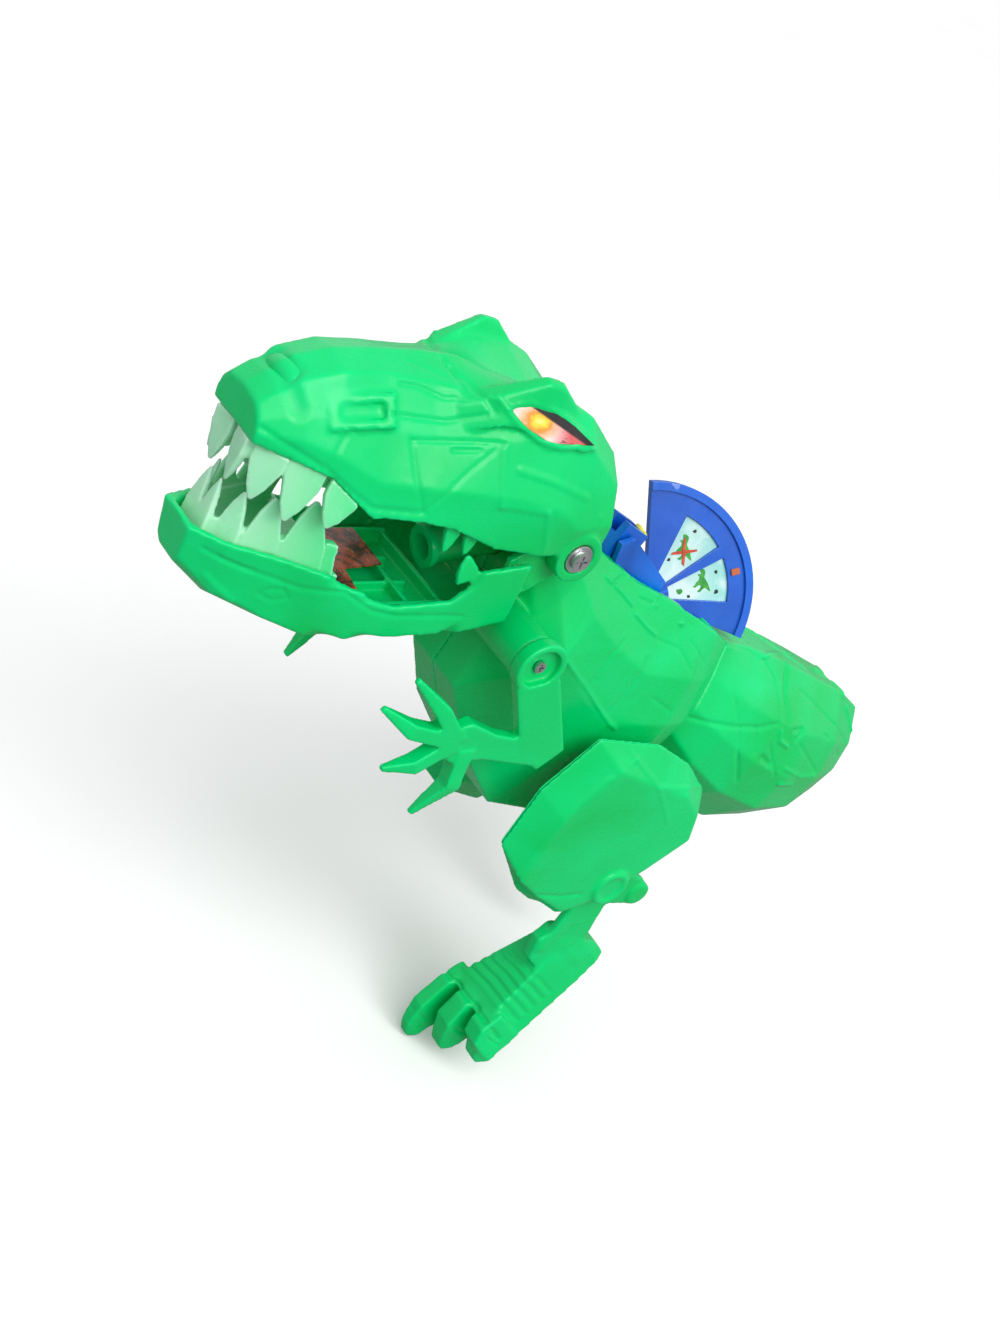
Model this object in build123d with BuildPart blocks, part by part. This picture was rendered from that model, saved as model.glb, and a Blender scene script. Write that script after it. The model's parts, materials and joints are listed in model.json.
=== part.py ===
from build123d import *
import math
import os

os.makedirs("parts", exist_ok=True)

# ---------------------------------------------------------------- driving sizes
WALL = 2.2            # moulded shell wall
FIT = 0.05            # radial running clearance on pins
GAP = 0.5             # free gap between bodies that move past each other
HINGE_D = 4.0         # jaw hinge screw shank
HIP_D = 6.0           # hip axle
KNEE_D = 4.0          # knee pin
HIP = (86.0, -116.0)  # hip axle (y, z)
KNEE = (80.0, -150.0) # knee pin (y, z)
SHOULDER = (-6.0, -37.0)
LEG_X0, LEG_X1, LEG_X2 = 34.0, 42.0, 50.0   # thigh: inner face, widest plane, outer face
HIP_SWING = 0.0       # left leg as drawn; the right leg is swung back
RIGHT_HIP = 84.0      # right thigh swung back about the hip, degrees
RIGHT_KNEE = -52.0    # right shin folded at the knee, degrees
RIGHT_ARM = -8.0      # right arm raised a little at the shoulder
FAN_C = (30.0, -64.0)
PUMP_C = (84.0, -84.0)
BELLY = (50.0, -130.5)
BELLY_T = 15.6        # slope of the belly, degrees
DIAL_C = (-6.2, 86.6, -47.6)
DIAL_R = 46.3
NOZ_A, NOZ_B = (-6.0, -13.5), (-36.0, -18.6)   # bubble outlet, root and mouth (y, z)


ORIGIN = (0.0, -60.0, 261.649)   # jaw hinge frame to base frame


def export(bp, name):
    body = bp.part.moved(Location(ORIGIN))
    body.label = name
    export_step(body, "parts/" + name + ".step")


# ---------------------------------------------------------------- section helpers
def V(y, pts):
    return ((y, 0.0), (0.0, 1.0), pts)


def T(top, bot, tw):
    ln = math.hypot(top[0] - bot[0], top[1] - bot[1])
    u = ((top[0] - bot[0]) / ln, (top[1] - bot[1]) / ln)
    return (bot, u, [(w, (1 - t) * ln) for t, w in tw])


def full(pts):
    """half outline, top centre to bottom centre, mirrored into a closed one"""
    right = [p for p in pts]
    left = [(-x, s) for x, s in reversed(pts) if x > 1e-6]
    return right + left


def inset(poly, d):
    """move every side of a closed clockwise outline inward by d"""
    n = len(poly)
    out = []
    for i in range(n):
        p0, p1, p2 = poly[i - 1], poly[i], poly[(i + 1) % n]
        a = (p1[0] - p0[0], p1[1] - p0[1])
        b = (p2[0] - p1[0], p2[1] - p1[1])
        la, lb = math.hypot(*a), math.hypot(*b)
        na = (a[1] / la, -a[0] / la)
        nb = (b[1] / lb, -b[0] / lb)
        m = (na[0] + nb[0], na[1] + nb[1])
        k = m[0] * m[0] + m[1] * m[1]
        k = 2.0 / max(k, 0.6)
        out.append((p1[0] + m[0] * d * k, p1[1] + m[1] * d * k))
    return out


def plane_of(sec):
    o, u, _ = sec
    return Plane(origin=(0, o[0], o[1]), x_dir=(1, 0, 0), z_dir=(0, -u[1], u[0]))


def ring_loft(secs, d=0.0, open_bottom=0.0):
    """solid: ruled loft through the sections, each outline moved inward by d"""
    with BuildPart() as body:
        for sec in secs:
            poly = full(sec[2])
            if d:
                poly = inset(poly, d)
            if open_bottom:
                low = min(s for _, s in poly)
                poly = [(x, s - open_bottom if s < low + 0.8 else s) for x, s in poly]
            with BuildSketch(plane_of(sec)):
                with BuildLine():
                    Polyline(*poly, close=True)
                make_face()
        loft(ruled=True)
    return body.part


def stack_loft(layers):
    """solid: ruled loft through outlines [(plane, points)]"""
    with BuildPart() as body:
        for pl, poly in layers:
            with BuildSketch(pl):
                with BuildLine():
                    Polyline(*poly, close=True)
                make_face()
        loft(ruled=True)
    return body.part


def rod(a, b, r, hole=0.0):
    """solid round bar from a to b, with an optional bore"""
    d = Vector(*b) - Vector(*a)
    with BuildPart() as body:
        with BuildSketch(Plane(origin=a, z_dir=(d.X, d.Y, d.Z))):
            Circle(r)
            if hole:
                Circle(hole, mode=Mode.SUBTRACT)
        extrude(amount=d.length)
    return body.part


def shift(sec, dy, dz=0.0):
    return ((sec[0][0] + dy, sec[0][1] + dz), sec[1], sec[2])


def xplane(x):
    """sketch plane across the toy: local (y, z)"""
    return Plane(origin=(x, 0, 0), x_dir=(0, 1, 0), z_dir=(1, 0, 0))


# ---------------------------------------------------------------- sections
HEAD = [
    V(10.5, [(0, 29), (19.5, 32), (27.5, 24), (32.4, 12), (32.0, 1.7), (0, 1.7)]),
    V(-6.8, [(0, 39), (21, 46), (28, 37.4), (35.7, 12), (34, 0.9), (0, 0.9)]),
    V(-18.7, [(0, 44), (20.4, 51), (26.4, 41.7), (35.7, 19.6), (35.7, 1.7), (0, 1.7)]),
    V(-35.7, [(0, 48.5), (17, 52.7), (25.5, 38.3), (32.3, 21.3), (32.3, 2.6), (0, 2.6)]),
    V(-51, [(0, 52.7), (15.3, 48.5), (23, 35.7), (30.6, 22), (31.5, 8.5), (0, 8.5)]),
    V(-64.6, [(0, 53.6), (12, 49.3), (20.4, 36.6), (29, 22), (30.6, 11), (0, 11)]),
    V(-81.6, [(0, 53.0), (10.2, 50.4), (18.7, 36.6), (25.5, 22), (27.2, 10.2), (0, 10.2)]),
    V(-96.0, [(0, 52.0), (10.6, 49.8), (17.2, 37.4), (22.0, 28), (22.8, 20.6), (0, 20.6)]),
    V(-108.0, [(0, 48.6), (10.2, 46.2), (15.6, 37.6), (18.6, 30.8), (18.6, 23.6), (0, 23.6)]),
    V(-121.0, [(0, 38.4), (9.0, 37.2), (12.4, 34.0), (13.8, 30), (13.6, 26.4), (0, 26.4)]),
]
JAW = [
    V(-130, [(0, -4.5), (9, -5), (7.6, -17), (5, -19.5), (0, -19.5)]),
    V(-119, [(0, -7), (15.5, -7), (13.5, -26), (8, -28.5), (0, -28.5)]),
    V(-103, [(0, -9), (20.5, -9), (20, -31), (14, -33.5), (0, -33.5)]),
    V(-88.4, [(0, -11.5), (26, -11.5), (24, -35.7), (16, -37.4), (0, -37.4)]),
    V(-74.8, [(0, -17), (28, -17), (27, -35.7), (19, -37.4), (0, -37.4)]),
    V(-61.2, [(0, -22), (29, -22), (28.6, -34), (21, -36.6), (0, -36.6)]),
    V(-41.6, [(0, -19.5), (30.5, -19.5), (30.2, -32.3), (23, -35.7), (0, -35.7)]),
    V(-34, [(0, -7), (32, -7), (31, -31.5), (24, -34.8), (0, -34.8)]),
    V(-17, [(0, -3.4), (33.5, -3.4), (32.3, -26.4), (26, -30.6), (0, -30.6)]),
]
TORSO = [
    T((4, 9), (-8, -17), [(0, 0), (0, 12), (.25, 19), (.5, 20), (.75, 19), (1, 12), (1, 0)]),
    T((26, -8), (-3, -40), [(0, 0), (0, 12), (.25, 22), (.5, 24), (.75, 22), (1, 14), (1, 0)]),
    T((40, -17), (-11, -68), [(0, 0), (0, 12), (.25, 28), (.48, 34), (.68, 30), (1, 15), (1, 0)]),
    T((58, -26), (4, -97), [(0, 0), (0, 13), (.25, 29.5), (.48, 33.6), (.66, 30.5), (1, 18), (1, 0)]),
    T((78, -34), (26, -124), [(0, 0), (0, 15), (.25, 30), (.48, 33.2), (.64, 30), (1, 20), (1, 0)]),
    T((96, -42), (74, -138), [(0, 0), (0, 17.5), (.2, 29.5), (.4, 33.0), (.6, 30), (1, 20), (1, 0)]),
    T((108, -48), (90, -118), [(0, 0), (0, 17.5), (.25, 26), (.5, 30), (.72, 27), (1, 15), (1, 0)]),
    T((120, -56), (93, -102), [(0, 0), (0, 15), (.25, 21), (.5, 26), (.75, 24), (1, 11), (1, 0)]),
]
TAIL = [
    TORSO[-1],
    T((141, -62), (108, -120), [(0, 0), (0, 11), (.25, 27), (.5, 33), (.75, 31), (1, 15), (1, 0)]),
    T((165, -70), (128, -136), [(0, 0), (0, 11), (.25, 30), (.5, 37), (.75, 35), (1, 18), (1, 0)]),
    T((193, -81), (156, -149), [(0, 0), (0, 11), (.25, 30), (.5, 37), (.75, 36), (1, 20), (1, 0)]),
    T((220, -92), (186, -155), [(0, 0), (0, 10), (.25, 26), (.5, 32), (.75, 31), (1, 17), (1, 0)]),
    T((242, -105), (214, -153), [(0, 0), (0, 7), (.25, 18), (.5, 22), (.75, 21), (1, 11), (1, 0)]),
    T((250, -117), (232, -145), [(0, 0), (0, 4), (.25, 9), (.5, 11), (.75, 10), (1, 6), (1, 0)]),
]
SEAM_N = (0.8624, -0.5062)      # across the tail seam, backward and down (y, z)
# thigh outlines (y, z): widest plane, outer face and inner face
THIGH = [(42, -74.5), (77, -81), (99, -93), (115, -108), (121, -131), (101, -147), (82, -163),
         (60, -168), (36, -150), (17, -123), (24, -97)]
FACE = [(54, -86), (78, -97), (98, -104), (110, -116), (113, -130), (97, -143), (80, -155),
        (60, -160), (43, -149), (29, -139), (36, -108)]
INNER = [(54, -88), (78, -93), (94, -101), (107, -114), (111, -130), (96, -142), (80, -153),
         (60, -158), (43, -146), (29, -122), (35, -102)]


def offset_yz(pts, d):
    return inset(pts, d)


dn = Vector(math.cos(math.radians(20)) * math.cos(math.radians(-20)),
            math.cos(math.radians(20)) * math.sin(math.radians(-20)), math.sin(math.radians(20)))
dial_plane = Plane(origin=DIAL_C, x_dir=(math.sin(math.radians(20)), math.cos(math.radians(20)), 0), z_dir=tuple(dn))


def sector(r0, r1, a0, a1, n=24):
    out = [(r1 * math.cos(math.radians(a0 + (a1 - a0) * k / n)), r1 * math.sin(math.radians(a0 + (a1 - a0) * k / n)))
           for k in range(n + 1)]
    out += [(r0 * math.cos(math.radians(a1 + (a0 - a1) * k / n)), r0 * math.sin(math.radians(a1 + (a0 - a1) * k / n)))
            for k in range(n + 1)]
    return out


A0, A1 = -10, 104     # dial sector, degrees
with BuildPart() as dial_sweep:      # space the dial turns in
    with BuildSketch(dial_plane.offset(-2.1)):
        with BuildLine():
            Polyline(*sector(1.0, DIAL_R + 0.8, A0 - 1.5, A1 + 16), close=True)
        make_face()
        Circle(7.4)
    extrude(amount=6.9)

# ================================================================= torso
torso_solid = ring_loft(TORSO)
torso_cavity = ring_loft([TORSO[1], *TORSO[2:6], shift(TORSO[6], -0.5, 0.3), shift(TORSO[7], -2.4, 1.5)], WALL)
seam_plane = Plane(origin=(0, 106.5, -79), x_dir=(1, 0, 0), z_dir=(0, SEAM_N[0], SEAM_N[1]))
belly_plane = Plane(origin=(0, BELLY[0], BELLY[1]), x_dir=(1, 0, 0),
                    z_dir=(0, -math.sin(math.radians(BELLY_T)), -math.cos(math.radians(BELLY_T))))
noz_dir = (NOZ_B[0] - NOZ_A[0], NOZ_B[1] - NOZ_A[1])
noz_len = math.hypot(*noz_dir)
noz_plane = Plane(origin=(0, NOZ_A[0], NOZ_A[1]), x_dir=(1, 0, 0), z_dir=(0, noz_dir[0] / noz_len, noz_dir[1] / noz_len))

with BuildPart() as torso_hull:
    add(torso_solid)
    # shoulder bosses
    with BuildSketch(xplane(-40.5)):
        with Locations(SHOULDER):
            Circle(9.0)
    extrude(amount=81)
    # hinge bosses beside the neck
    with BuildSketch(xplane(-24.4)):
        Circle(9.0)
    extrude(amount=48.8)
    # hip bosses
    with BuildSketch(xplane(-33.4)):
        with Locations(HIP):
            Circle(11)
    extrude(amount=66.8)
    add(torso_cavity, mode=Mode.SUBTRACT)
    # neck bore behind the bubble outlet
    with BuildSketch(noz_plane.offset(-12)):
        Circle(6.6)
    extrude(amount=30, mode=Mode.SUBTRACT)
    # recess in the shoulder bosses, and their screw bores
    for sx in (-1, 1):
        with BuildSketch(xplane(40.5 * sx)):
            with Locations(SHOULDER):
                Circle(6.2)
        extrude(amount=-3.0 * sx, mode=Mode.SUBTRACT)
    with BuildSketch(xplane(-45)):
        with Locations(SHOULDER):
            Circle(1.5)
    extrude(amount=90, mode=Mode.SUBTRACT)
    with BuildSketch(xplane(-45)):
        Circle(HINGE_D / 2)
    extrude(amount=90, mode=Mode.SUBTRACT)
    with BuildSketch(xplane(-45)):
        with Locations(HIP):
            Circle(HIP_D / 2)
    extrude(amount=90, mode=Mode.SUBTRACT)
    # dorsal trough for the dial
    with Locations((0, 80, -33)):
        Box(22, 58, 36, rotation=(-25, 0, 0), mode=Mode.SUBTRACT)
    with Locations((0, 98, -38)):
        Box(30.8, 24, 34, rotation=(-25, 0, 0), mode=Mode.SUBTRACT)
    # passages through the neck for the air duct and the film hose
    add(rod((0, 17.5, -50), (0, 3.4, -15), 6.3), mode=Mode.SUBTRACT)
    add(rod((-9.5, 16, -40), (-9.5, -16, -15.5), 1.9), mode=Mode.SUBTRACT)
    add(dial_sweep.part, mode=Mode.SUBTRACT)
    # battery hatch in the belly
    with BuildSketch(belly_plane.offset(-8)):
        Rectangle(36.6, 47.6)
    extrude(amount=14, mode=Mode.SUBTRACT)
    # tail pivot bore
    with BuildSketch(seam_plane.offset(-8)):
        Circle(2.5)
    extrude(amount=16, mode=Mode.SUBTRACT)
    # slot for the power slider in the right flank
    with Locations((-33, 62, -62)):
        Box(16, 10, 4.4, mode=Mode.SUBTRACT)

with BuildPart() as torso_left_shell:
    add(torso_hull.part)
    split(bisect_by=Plane.YZ, keep=Keep.TOP)
with BuildPart() as torso_right_shell:
    add(torso_hull.part)
    split(bisect_by=Plane.YZ, keep=Keep.BOTTOM)
export(torso_left_shell, "torso_left_shell")
export(torso_right_shell, "torso_right_shell")


def screw(head_at, toward, head_r, head_h, shank_r, shank_l):
    """pan-head screw: head disc with a cross recess and its shank, along +-X"""
    with BuildPart() as body:
        with BuildSketch(Plane(origin=head_at, z_dir=toward)):
            Circle(head_r)
        extrude(amount=-head_h)
        with BuildSketch(Plane(origin=head_at, z_dir=toward)):
            Circle(shank_r)
        extrude(amount=shank_l)
        out = Vector(*head_at) - Vector(*toward) * head_h
        with BuildSketch(Plane(origin=out, z_dir=toward)):
            Rectangle(head_r * 1.3, 0.7)
            Rectangle(0.7, head_r * 1.3)
        extrude(amount=0.8, mode=Mode.SUBTRACT)
    return body.part


# four screws through the pillars of the inner frame
with BuildPart() as frame_screws:
    for y, z in ((2, -56), (40, -99), (92, -63), (84, -103)):
        add(rod((-8, y, z), (7.3, y, z), 1.3))
        add(rod((-9.8, y, z), (-8, y, z), 2.6))
export(frame_screws, "frame_screws")

with BuildPart() as inner_frame:
    with BuildSketch(xplane(-0.8)):
        with BuildLine():
            Polyline((-1, -53), (7, -53), (14, -58), (46, -52), (58, -58), (95, -60), (95, -67), (90, -92),
                     (88, -107), (60, -106), (34, -103), (6, -86), close=True)
        make_face()
    extrude(amount=1.6)
    for y, z in ((2, -56), (40, -99), (92, -63), (84, -103)):
        with BuildSketch(xplane(-7.9)):
            with Locations((y, z)):
                Circle(3.2)
        extrude(amount=15.6)
        with BuildSketch(xplane(-12)):
            with Locations((y, z)):
                Circle(1.3)
        extrude(amount=19.4, mode=Mode.SUBTRACT)
    with BuildSketch(xplane(-2)):
        with Locations((FAN_C[0], FAN_C[1])):
            Circle(18.6)
    extrude(amount=4, mode=Mode.SUBTRACT)
    with BuildSketch(xplane(-2)):
        with Locations(HIP):
            Circle(4.2)
    extrude(amount=4, mode=Mode.SUBTRACT)
    with BuildSketch(xplane(-2)):
        with Locations(PUMP_C):
            Circle(12.4)
    extrude(amount=4, mode=Mode.SUBTRACT)
export(inner_frame, "inner_frame")

# ---- bubble outlet: tube and film ring in the back of the mouth
with BuildPart() as bubble_nozzle:  # film ring at its mouth
    with BuildSketch(noz_plane.offset(-11)):
        Circle(6.5)
        Circle(4.6, mode=Mode.SUBTRACT)
    extrude(amount=11 + noz_len)
    with BuildSketch(noz_plane.offset(noz_len - 2.5)):
        Circle(7.6)
        Circle(4.6, mode=Mode.SUBTRACT)
    extrude(amount=2.5)
export(bubble_nozzle, "bubble_nozzle")

# ---- fan: housing, impeller, motor
with BuildPart() as fan_housing:
    with BuildSketch(xplane(-9)):
        with Locations(FAN_C):
            Circle(18.4)
    extrude(amount=14)
    with BuildSketch(xplane(-7.5)):
        with Locations(FAN_C):
            Circle(16.6)
    extrude(amount=11, mode=Mode.SUBTRACT)
    with BuildSketch(xplane(-10)):
        with Locations(FAN_C):
            Circle(7)
    extrude(amount=3, mode=Mode.SUBTRACT)
    with BuildSketch(xplane(3)):
        with Locations(FAN_C):
            Circle(1.6)
    extrude(amount=3, mode=Mode.SUBTRACT)
export(fan_housing, "fan_housing")

with BuildPart() as fan_impeller:
    with BuildSketch(xplane(1.4)):
        with Locations(FAN_C):
            Circle(15)
    extrude(amount=1.4)
    with BuildSketch(xplane(-6.6)):
        with Locations(FAN_C):
            Circle(3.4)
    extrude(amount=8)
    with BuildSketch(xplane(-6.6)):
        with Locations(Location((FAN_C[0], FAN_C[1], 0))):
            with PolarLocations(10.0, 9):
                Rectangle(8.6, 1.0, rotation=24)
    extrude(amount=8)
    with BuildSketch(xplane(2.8)):
        with Locations(FAN_C):
            Circle(1.0)
    extrude(amount=4.7)
export(fan_impeller, "fan_impeller")

with BuildPart() as fan_motor:
    with BuildSketch(xplane(5.4)):
        with Locations(FAN_C):
            Circle(10)
            Rectangle(30, 15, mode=Mode.INTERSECT)
    extrude(amount=20)
    with BuildSketch(xplane(5.2)):
        with Locations(FAN_C):
            Circle(1.05)
    extrude(amount=3, mode=Mode.SUBTRACT)
export(fan_motor, "fan_motor")

# air duct from the fan housing up into the neck
with BuildPart() as air_duct:
    add(rod((0, 16.5, -47.5), (0, 5.6, -20.5), 6.2, 4.6))
export(air_duct, "air_duct")

# ---- solution pump: body, rotor, motor, hoses
with BuildPart() as pump_body:
    with BuildSketch(xplane(-8)):
        with Locations(PUMP_C):
            Circle(12.2)
    extrude(amount=10)
    with BuildSketch(xplane(-6.5)):
        with Locations(PUMP_C):
            Circle(10.6)
    extrude(amount=7, mode=Mode.SUBTRACT)
    with BuildSketch(xplane(0)):
        with Locations(PUMP_C):
            Circle(1.6)
    extrude(amount=3, mode=Mode.SUBTRACT)
export(pump_body, "pump_body")

with BuildPart() as pump_rotor:
    with BuildSketch(xplane(-5.6)):
        with Locations(PUMP_C):
            Circle(3.0)
        with Locations(Location((PUMP_C[0], PUMP_C[1], 0))):
            with PolarLocations(4.5, 3):
                Rectangle(6, 3.0)
            with PolarLocations(7.4, 3):
                Circle(2.2)
    extrude(amount=5.2)
    with BuildSketch(xplane(-0.4)):
        with Locations(PUMP_C):
            Circle(1.0)
    extrude(amount=5.4)
export(pump_rotor, "pump_rotor")

with BuildPart() as pump_motor:
    with BuildSketch(xplane(2.4)):
        with Locations(PUMP_C):
            Circle(8)
            Rectangle(30, 12, mode=Mode.INTERSECT)
    extrude(amount=18)
    with BuildSketch(xplane(2.2)):
        with Locations(PUMP_C):
            Circle(1.05)
    extrude(amount=3.2, mode=Mode.SUBTRACT)
export(pump_motor, "pump_motor")

# ---- solution tank in the right half, with its rubber plug
with BuildPart() as solution_tank:
    with Locations((-15.75, 56, -92)):
        Box(14.5, 26, 24)
    with Locations((-15.75, 56, -92)):
        Box(11.7, 23.2, 21.2, mode=Mode.SUBTRACT)
    with Locations((-15.75, 49, -81)):
        Cylinder(3.2, 6, mode=Mode.SUBTRACT)
    with BuildSketch(Plane(origin=(-15.75, 66, -98), z_dir=(0, 1, 0))):
        Circle(1.55)
    extrude(amount=4, mode=Mode.SUBTRACT)
export(solution_tank, "solution_tank")
with BuildPart() as tank_plug:
    with Locations((-15.75, 49, -80.9)):
        Cylinder(3.2, 2.2)
    with Locations((-15.75, 49, -80.0)):
        Cylinder(4.6, 1.4, align=(Align.CENTER, Align.CENTER, Align.MIN))
export(tank_plug, "tank_plug")

# ---- silicone hoses: tank to pump, pump to the film ring
with BuildPart() as supply_hose:
    with BuildLine() as hose_path:
        Spline((-15.75, 67.8, -98), (-15.0, 76, -98), (-11.5, 84, -92), (-8.5, 84, -86),
               tangents=[(0, 1, 0), (1, 0, 0.3)])
    with BuildSketch(Plane(origin=(-15.75, 67.8, -98), z_dir=(0, 1, 0))):
        Circle(1.5)
    sweep(path=hose_path.line)
export(supply_hose, "supply_hose")
with BuildPart() as film_hose:
    with BuildLine() as film_path:
        Spline((-8.7, 82, -78), (-13, 72, -66), (-15, 52, -56), (-13.5, 30, -46), (-9.5, 14.0, -38.4),
               (-9.5, -8, -21.6), tangents=[(-1, -0.3, 0.5), (0, -0.794, 0.607)])
    with BuildSketch(Plane(origin=(-8.7, 82, -78), z_dir=(-1, -0.3, 0.5))):
        Circle(1.4)
    sweep(path=film_path.line)
export(film_hose, "film_hose")

# ---- electronics
with BuildPart() as circuit_board:
    with Locations((18, 57, -98)):
        Box(1.6, 34, 20)
    with Locations((19.8, 51, -96)):
        Box(2.0, 8, 8)
    with Locations((20.6, 64, -94)):
        Box(3.6, 4, 4)
export(circuit_board, "circuit_board")
with BuildPart() as speaker:
    with BuildSketch(xplane(14)):
        with Locations((20, -88)):
            Circle(7)
    extrude(amount=4)
    with BuildSketch(xplane(18)):
        with Locations((20, -88)):
            Circle(4)
    extrude(amount=1.6)
export(speaker, "speaker")

# ---- power slider in the right flank
with BuildPart() as switch_body:
    with Locations((-25.4, 62, -62)):
        Box(5, 14, 8)
    with Locations((-27.6, 62, -62)):
        Box(2.4, 10.6, 3.8, mode=Mode.SUBTRACT)
export(switch_body, "switch_body")
with BuildPart() as power_slider:
    with Locations((-30.3, 60.4, -62)):
        Box(7.0, 4.0, 2.9)
    with Locations((-34.5, 60.4, -62)):
        Box(1.8, 5.4, 3.6)
    for k in (-1.4, 0, 1.4):
        with Locations((-35.6, 60.4 + k, -62)):
            Box(0.6, 0.6, 3.4)
export(power_slider, "power_slider")


# ---- battery box, cells, contacts, door
def belly_at(u, w, depth):
    """point at u across, w along the belly (backward), depth inside the belly face"""
    t = math.radians(BELLY_T)
    return (u, BELLY[0] + w * math.cos(t) + depth * math.sin(t),
            BELLY[1] - w * math.sin(t) + depth * math.cos(t))


with BuildPart() as battery_box:
    with BuildSketch(belly_plane.offset(-3.2)):
        Rectangle(36.2, 47.2)
    extrude(amount=-12.6)
    with BuildSketch(belly_plane.offset(-3.2)):
        Rectangle(33.8, 45.2)
    extrude(amount=-11.4, mode=Mode.SUBTRACT)
export(battery_box, "battery_box")
with BuildPart() as batteries:
    for u in (-11.2, 0, 11.2):
        add(rod(belly_at(u, -21.8, 9.0), belly_at(u, 21.6, 9.0), 5.2))
export(batteries, "batteries")
with BuildPart() as battery_contacts:
    for w in (-22.2, 22.0):
        for u in (-11.2, 0, 11.2):
            add(rod(belly_at(u, w - 0.25, 9.0), belly_at(u, w + 0.25, 9.0), 4.0))
export(battery_contacts, "battery_contacts")
with BuildPart() as battery_door:
    with BuildSketch(belly_plane.offset(-2.4)):
        Rectangle(36.0, 47.0)
    extrude(amount=2.2)
    for k in (-12, -8, -4, 0, 4):
        with Locations(belly_at(0, k, 0.0)):
            Box(20, 1.2, 1.0, rotation=(-BELLY_T, 0, 0))
    with BuildSketch(belly_plane.offset(-4)):
        with Locations((0, 19)):
            Circle(1.5)
    extrude(amount=6, mode=Mode.SUBTRACT)
export(battery_door, "battery_door")
with BuildPart() as battery_door_screw:
    add(rod(belly_at(0, -19, 2.3), belly_at(0, -19, -0.9), 1.5))
    add(rod(belly_at(0, -19, 0.15), belly_at(0, -19, -1.3), 2.6))
export(battery_door_screw, "battery_door_screw")

# ================================================================= head
head_outer = ring_loft(HEAD)
head_inner = ring_loft([shift(HEAD[0], 2.0), *HEAD[1:9], shift(HEAD[9], 2.6)], WALL, 6.0)


def frame_box(sx):
    """raised rectangular frame on the side of the snout"""
    pl = Plane(origin=(sx * 15.2, -90, 39.6), x_dir=(0, 1, 0.08), z_dir=(sx * 0.80, -0.16, 0.55))
    with BuildPart() as body:
        with BuildSketch(pl.offset(-3)):
            Rectangle(21.5, 10.5)
            Rectangle(15.0, 5.0, mode=Mode.SUBTRACT)
        extrude(amount=5.4)
    return body.part


EYE = [(-17, 3.4), (-12, 5.0), (-6, 5.6), (1, 4.2), (9, 0.6), (17.5, -4.4), (10, -4.8), (1, -5.4), (-8, -1.8)]


def eye_plane(sx):
    return Plane(origin=(sx * 25.4, -27, 44.3), x_dir=(sx * 0.13, 1, 0), z_dir=(sx * 0.92, -0.12, 0.37))


def eye_outline(sx):
    """label outline in the seat's plane: forward to the left of it on both sides"""
    return [(u, v * sx) for u, v in EYE]


def eye_seat(sx):
    pts = [(u * 1.09, v * 1.32 * sx) for u, v in EYE]
    with BuildPart() as body:
        with BuildSketch(eye_plane(sx).offset(-0.1)):
            with BuildLine():
                Polyline(*pts, close=True)
            make_face()
        extrude(amount=-6.5, taper=-12)
    return body.part


def brow(sx):
    """crest over the eye, rising backward to a blunt tip"""
    a = [(12 * sx, 38), (20 * sx, 38), (17 * sx, 46), (13 * sx, 46)]
    b = [(13 * sx, 42), (24.5 * sx, 42), (20.5 * sx, 51.5), (15 * sx, 52)]
    c = [(15 * sx, 44), (25.2 * sx, 42), (22.4 * sx, 57.0), (18.6 * sx, 58)]
    d = [(15.5 * sx, 44), (25.2 * sx, 42), (22.6 * sx, 56.0), (19.2 * sx, 57)]
    e = [(16 * sx, 38), (25.0 * sx, 38), (22 * sx, 47), (18 * sx, 47)]
    layers = []
    for y, pts in ((-57, a), (-44, b), (-30, c), (-24, d), (-13, e)):
        layers.append((Plane(origin=(0, y, 0), x_dir=(1, 0, 0), z_dir=(0, -1, 0)), pts))
    return stack_loft(layers)


with BuildPart() as head_shell:
    add(head_outer)
    for sx in (-1, 1):
        add(brow(sx))
        add(eye_seat(sx))
        add(frame_box(sx))
    add(head_inner, mode=Mode.SUBTRACT)
    for sx in (-1, 1):      # sockets that the printed eyes lie in
        with BuildSketch(eye_plane(sx).offset(-0.03)):
            with BuildLine():
                Polyline(*[(u * 1.03, v * 1.10 * sx) for u, v in EYE], close=True)
            make_face()
        extrude(amount=12, mode=Mode.SUBTRACT)
    # hinge ears
    for sx in (-1, 1):
        with BuildSketch(xplane(28.6 * sx)):
            Circle(9.2)
        extrude(amount=6.4 * sx)
        with BuildSketch(xplane(28.6 * sx)):
            with Locations((-7, 8)):
                Rectangle(22, 15)
        extrude(amount=4.4 * sx)
        with BuildSketch(xplane(35.0 * sx)):
            Circle(5.7)
        extrude(amount=-1.9 * sx, mode=Mode.SUBTRACT)
    with BuildSketch(xplane(-40)):
        Circle(HINGE_D / 2 + FIT)
    extrude(amount=80, mode=Mode.SUBTRACT)
export(head_shell, "head_shell")



def tooth(base, tip, w, t, side):
    """flat curved tooth: four-sided base tapering to a short edge at the tip"""
    b, p = Vector(*base), Vector(*tip)
    ax = (p - b)
    ln = ax.length
    pl = Plane(origin=base, x_dir=side, z_dir=(ax.X, ax.Y, ax.Z))
    return stack_loft([
        (pl, [(-w / 2, -t / 2), (w / 2, -t / 2), (w / 2, t / 2), (-w / 2, t / 2)]),
        (pl.offset(ln * 0.45), [(-w * .47, -t * .45), (w * .47, -t * .45), (w * .47, t * .45), (-w * .47, t * .45)]),
        (pl.offset(ln * 0.78), [(-w * .27, -t * .36), (w * .27, -t * .36), (w * .27, t * .36), (-w * .27, t * .36)]),
        (pl.offset(ln), [(-w * .06, -t * .2), (w * .06, -t * .2), (w * .06, t * .2), (-w * .06, t * .2)]),
    ])


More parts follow.
